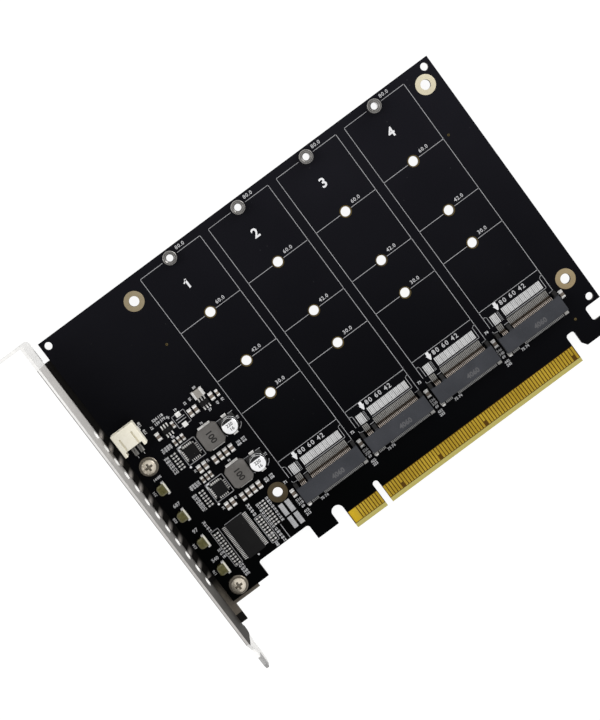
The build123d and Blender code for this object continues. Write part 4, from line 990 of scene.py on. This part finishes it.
for corners in partsPrint["frames"]:
    addFrame(lineBm, *corners, partsPrint["line"])
for corners in partsPrint["bars"]:
    addBar(lineBm, *corners)
for field in partsPrint["fields"]:
    addField(textBm, field)
for shift in (0, converterStep):
    addFrame(lineBm, -41.45, 45.55 + shift, -35.3, 51.95 + shift, 0.22)
    addPath(boldBm, ((-41.2, 50.5 + shift), (-41.2, 51.65 + shift), (-40.2, 51.65 + shift)), 0.4)
    addDisc(boldBm, -41.4, 44.95 + shift, 0.38, sides=12)
    for field in partsPrint["converterFields"]:
        addField(textBm, field, shift)
    for points in partsPrint["converterPaths"]:
        addPath(lineBm, [(x, y + shift) for x, y in points], 0.2)
addDisc(boldBm, -40.9, 11.6, 0.32, sides=12)
# two narrow rows of small bars on each of the four grey labels
for left in (-27.6, -25.25):
    for low in (15.9, 11.3):
        for n in range(7):
            for start in (left + 0.12, left + 0.84):
                addBar(textBm, start, low + 0.2 + n * 0.54, start + 0.54, low + 0.44 + n * 0.54,
                       height=inkHeight * 2)
addPiece("board_lines", lineBm, thinInk)
addPiece("board_numbers", textBm, textInk)
addPiece("board_print", boldBm, printInk)
addPiece("comb_print", combBm, combInk)
print("print laid on the board")

# bare metal round the module holes, and three vias
holeEdges = {"inner": 1.51, "outer": 1.84, "height": 0.02, "rows": (78.7, 60.7, 48.7),
             "vias": ((-25.1, 78.7), (79.0, 78.7), (77.55, 11.6)), "viaRadius": 0.42}
holeBm = bmesh.new()
for cx in columnCentres:
    for y in holeEdges["rows"]:
        for level in (face, -face - holeEdges["height"]):
            addRing(holeBm, cx, y, holeEdges["inner"], holeEdges["outer"], level, holeEdges["height"])
for x, y in holeEdges["vias"]:
    addRing(holeBm, x, y, 0.12, holeEdges["viaRadius"], face, holeEdges["height"], 16)
addPiece("hole_edges", holeBm, ringGold)

# solder: a pad under each lead and end cap, and a wedge that climbs it
solder = {
    "pad": 0.035, "side": 0.08,
    # node: node that it belongs to, reach of the pad, share of the height that solder climbs
    "ends": {
        "capacitor_large_end_caps": ("capacitor_large_bodies", 0.35, 0.7),
        "capacitor_small_end_caps": ("capacitor_small_bodies", 0.3, 0.7),
        "filter_choke_end_caps": ("filter_choke_bodies", 0.12, 0.3),
        "clock_buffer_leads": ("clock_buffer", 0.15, 0.0),
        "switch_leads": ("switch_bodies", 0.6, 0.0),
        "converter_1_choke_terminals": ("converter_1_choke", 0.1, 0.3),
        "converter_2_choke_terminals": ("converter_2_choke", 0.1, 0.3),
        "converter_1_can_leads": ("converter_1_can_base", 0.25, 0.8),
        "converter_2_can_leads": ("converter_2_can_base", 0.25, 0.8),
        "converter_1_controller_pads": ("converter_1_controller", 0.4, 0.0),
        "converter_2_controller_pads": ("converter_2_controller", 0.4, 0.0),
    },
    "feet": (22.0, 24.05), "backFeet": (14.4, 15.15), "footWidth": 0.34,
}
solderBm = bmesh.new()
dullBm = bmesh.new()


def addSolder(bm, box, way, reach, climb):
    low, high = box[0].copy(), box[1].copy()
    across = 0 if way.y else 1
    along = 1 - across
    tip = high[along] if way[along] > 0 else low[along]
    side = 0.0 if climb == 0 else solder["side"]
    low[across] -= side
    high[across] += side
    ends = sorted((tip - way[along] * 0.5, tip + way[along] * reach))
    wedge = sorted((tip, tip + way[along] * reach * 0.8))
    sides = (low[across], high[across])
    for (start, end), height in ((ends, solder["pad"]), (wedge, (high.z - face) * climb)):
        if height <= 0:
            continue
        corners = (sides[0], start, sides[1], end) if along else (start, sides[0], end, sides[1])
        verts = addBar(bm, *corners, height=height)
        if height > solder["pad"]:
            for vert in verts:
                outer = (vert.co[along] / mm - tip) * way[along] > reach * 0.4
                if outer and vert.co.z > (face + height / 2) * mm:
                    vert.co.z = (face + solder["pad"] + 0.02) * mm


for name, (carrier, reach, climb) in solder["ends"].items():
    carriers = solidBoxes(carrier)
    for box in solidBoxes(name):
        addSolder(solderBm, box, awayFrom(box, carriers), reach, climb)
half = solder["footWidth"] / 2
for number in range(1, 5):
    for box in solidBoxes(f"socket_{number}_lower_pins"):
        x = middle(box).x
        addBar(dullBm, x - half, solder["feet"][0], x + half, solder["feet"][1], height=0.05)
    for box in solidBoxes(f"socket_{number}_upper_pins"):
        x = middle(box).x
        addBar(dullBm, x - half, solder["backFeet"][0], x + half, solder["backFeet"][1], height=0.05)
    for box in solidBoxes(f"socket_{number}_solder_tabs"):
        addBar(dullBm, box[0].x - 0.1, box[0].y - 0.1, box[1].x + 0.1, box[1].y, height=0.05)
    cx = columnCentres[number - 1]
    addBar(solderBm, cx - 10.95, 14.2, cx - 10.05, 14.75, height=0.4)
# empty place of a diode, tinned to the full; the fan header's pads; solder on the chokes' far terminals, a
# bright block over part of each that is also a painted highlight
for corners in ((-35.8, 59.25, -34.2, 60.75), (-35.8, 55.65, -34.2, 57.15)):
    addBar(solderBm, *corners, height=solder["pad"])
for x in (-51.8, -49.8):
    addBar(dullBm, x - 0.65, 57.4, x + 0.65, 59.9, height=solder["pad"])
for shift in (0, converterStep):
    for corners in ((-40.2, 50.75, -37.0, 51.2), (-41.15, 46.7, -40.7, 51.0), (-36.7, 46.6, -36.2, 51.0)):
        addBar(dullBm, corners[0], corners[1] + shift, corners[2], corners[3] + shift,
               height=solder["pad"] * 0.8)
# painted highlight: a bright solder block over the left part of each choke's far terminal
for number in (1, 2):
    low, high = solidBoxes(f"converter_{number}_choke_terminals")[1]
    addBar(solderBm, low.x - 0.03, low.y, low.x + 1.9, high.y + 0.03, height=high.z - face + 0.03)
addPiece("solder", solderBm, solderTin)
addPiece("pin_solder", dullBm, solderDull)
print("solder laid under leads and end caps")

# white ends of the chip resistors, with their pads
resistorEnds = {"length": 0.23, "proud": 0.012, "reach": 0.38, "pad": 0.04}
resistorBm = bmesh.new()
figureBm = bmesh.new()
for low, high in solidBoxes("chip_resistors"):
    size = high - low
    proud = resistorEnds["proud"]
    axis = 0 if size.x > size.y else 1
    for end in (0, 1):
        for reach, height in ((proud, high.z - face + proud), (resistorEnds["reach"], resistorEnds["pad"])):
            start, stop = low.copy(), high.copy()
            start[1 - axis] -= proud
            stop[1 - axis] += proud
            if end:
                start[axis] = high[axis] - resistorEnds["length"]
                stop[axis] += reach
            else:
                stop[axis] = low[axis] + resistorEnds["length"]
                start[axis] -= reach
            addBar(resistorBm, start.x, start.y, stop.x, stop.y, height=height)
    # figure printed on the black glaze
    centre = middle((low, high))
    addBar(figureBm, centre.x - 0.1, centre.y - 0.15, centre.x + 0.1, centre.y + 0.15,
           level=high.z, height=inkHeight)
addPiece("resistor_ends", resistorBm, tinPlate)
addPiece("resistor_figures", figureBm, thinInk)

# dark numbers on the chokes, and the black part and numbers of each can's top
converterMarks = {"text": "100", "height": 1.9, "canInset": 0.16, "chord": 1.3,
                  "canNumbers": (("220", 0.35), ("16", -1.05)), "canHeight": 1.0}
chokeBm = bmesh.new()
sectorBm = bmesh.new()
canBm = bmesh.new()
for number in (1, 2):
    low, high = (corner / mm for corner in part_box(f"converter_{number}_choke"))
    addNumber(chokeBm, converterMarks["text"], (low.x + high.x) / 2, (low.y + high.y) / 2,
              converterMarks["height"], -90, 0.07, high.z)
    low, high = (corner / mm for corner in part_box(f"converter_{number}_can"))
    centre = (low + high) / 2
    radius = (high.x - low.x) / 2 - converterMarks["canInset"]
    for text, offset in converterMarks["canNumbers"]:
        addNumber(canBm, text, centre.x + 0.1, centre.y + offset, converterMarks["canHeight"],
                  weight=0.04, level=high.z)
    spot = bmesh.new()
    addDisc(spot, centre.x, centre.y, radius, high.z, inkHeight, 48)
    bmesh.ops.bisect_plane(spot, geom=spot.verts[:] + spot.edges[:] + spot.faces[:],
                           plane_co=Vector((centre.x, centre.y + converterMarks["chord"], 0)) * mm,
                           plane_no=(0, 1, 0), clear_inner=True)
    bmesh.ops.holes_fill(spot, edges=spot.edges)
    sector = bpy.data.meshes.new("sector")
    spot.to_mesh(sector)
    spot.free()
    sectorBm.from_mesh(sector)
    bpy.data.meshes.remove(sector)
addPiece("choke_numbers", chokeBm, markInk)
addPiece("can_numbers", canBm, canInk)
addPiece("can_sectors", sectorBm, sectorInk)

# faint mark in each socket's roof
roofBm = bmesh.new()
for number, cx in enumerate(columnCentres, start=1):
    addNumber(roofBm, "4060", cx + 1.9, 17.6, 1.5, weight=0.09,
              level=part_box(f"socket_{number}_housing")[1].z / mm)
addPiece("roof_marks", roofBm, roofMark)
bpy.data.objects.remove(numberObject)
bpy.data.curves.remove(numberCurve)

print("pieces added")
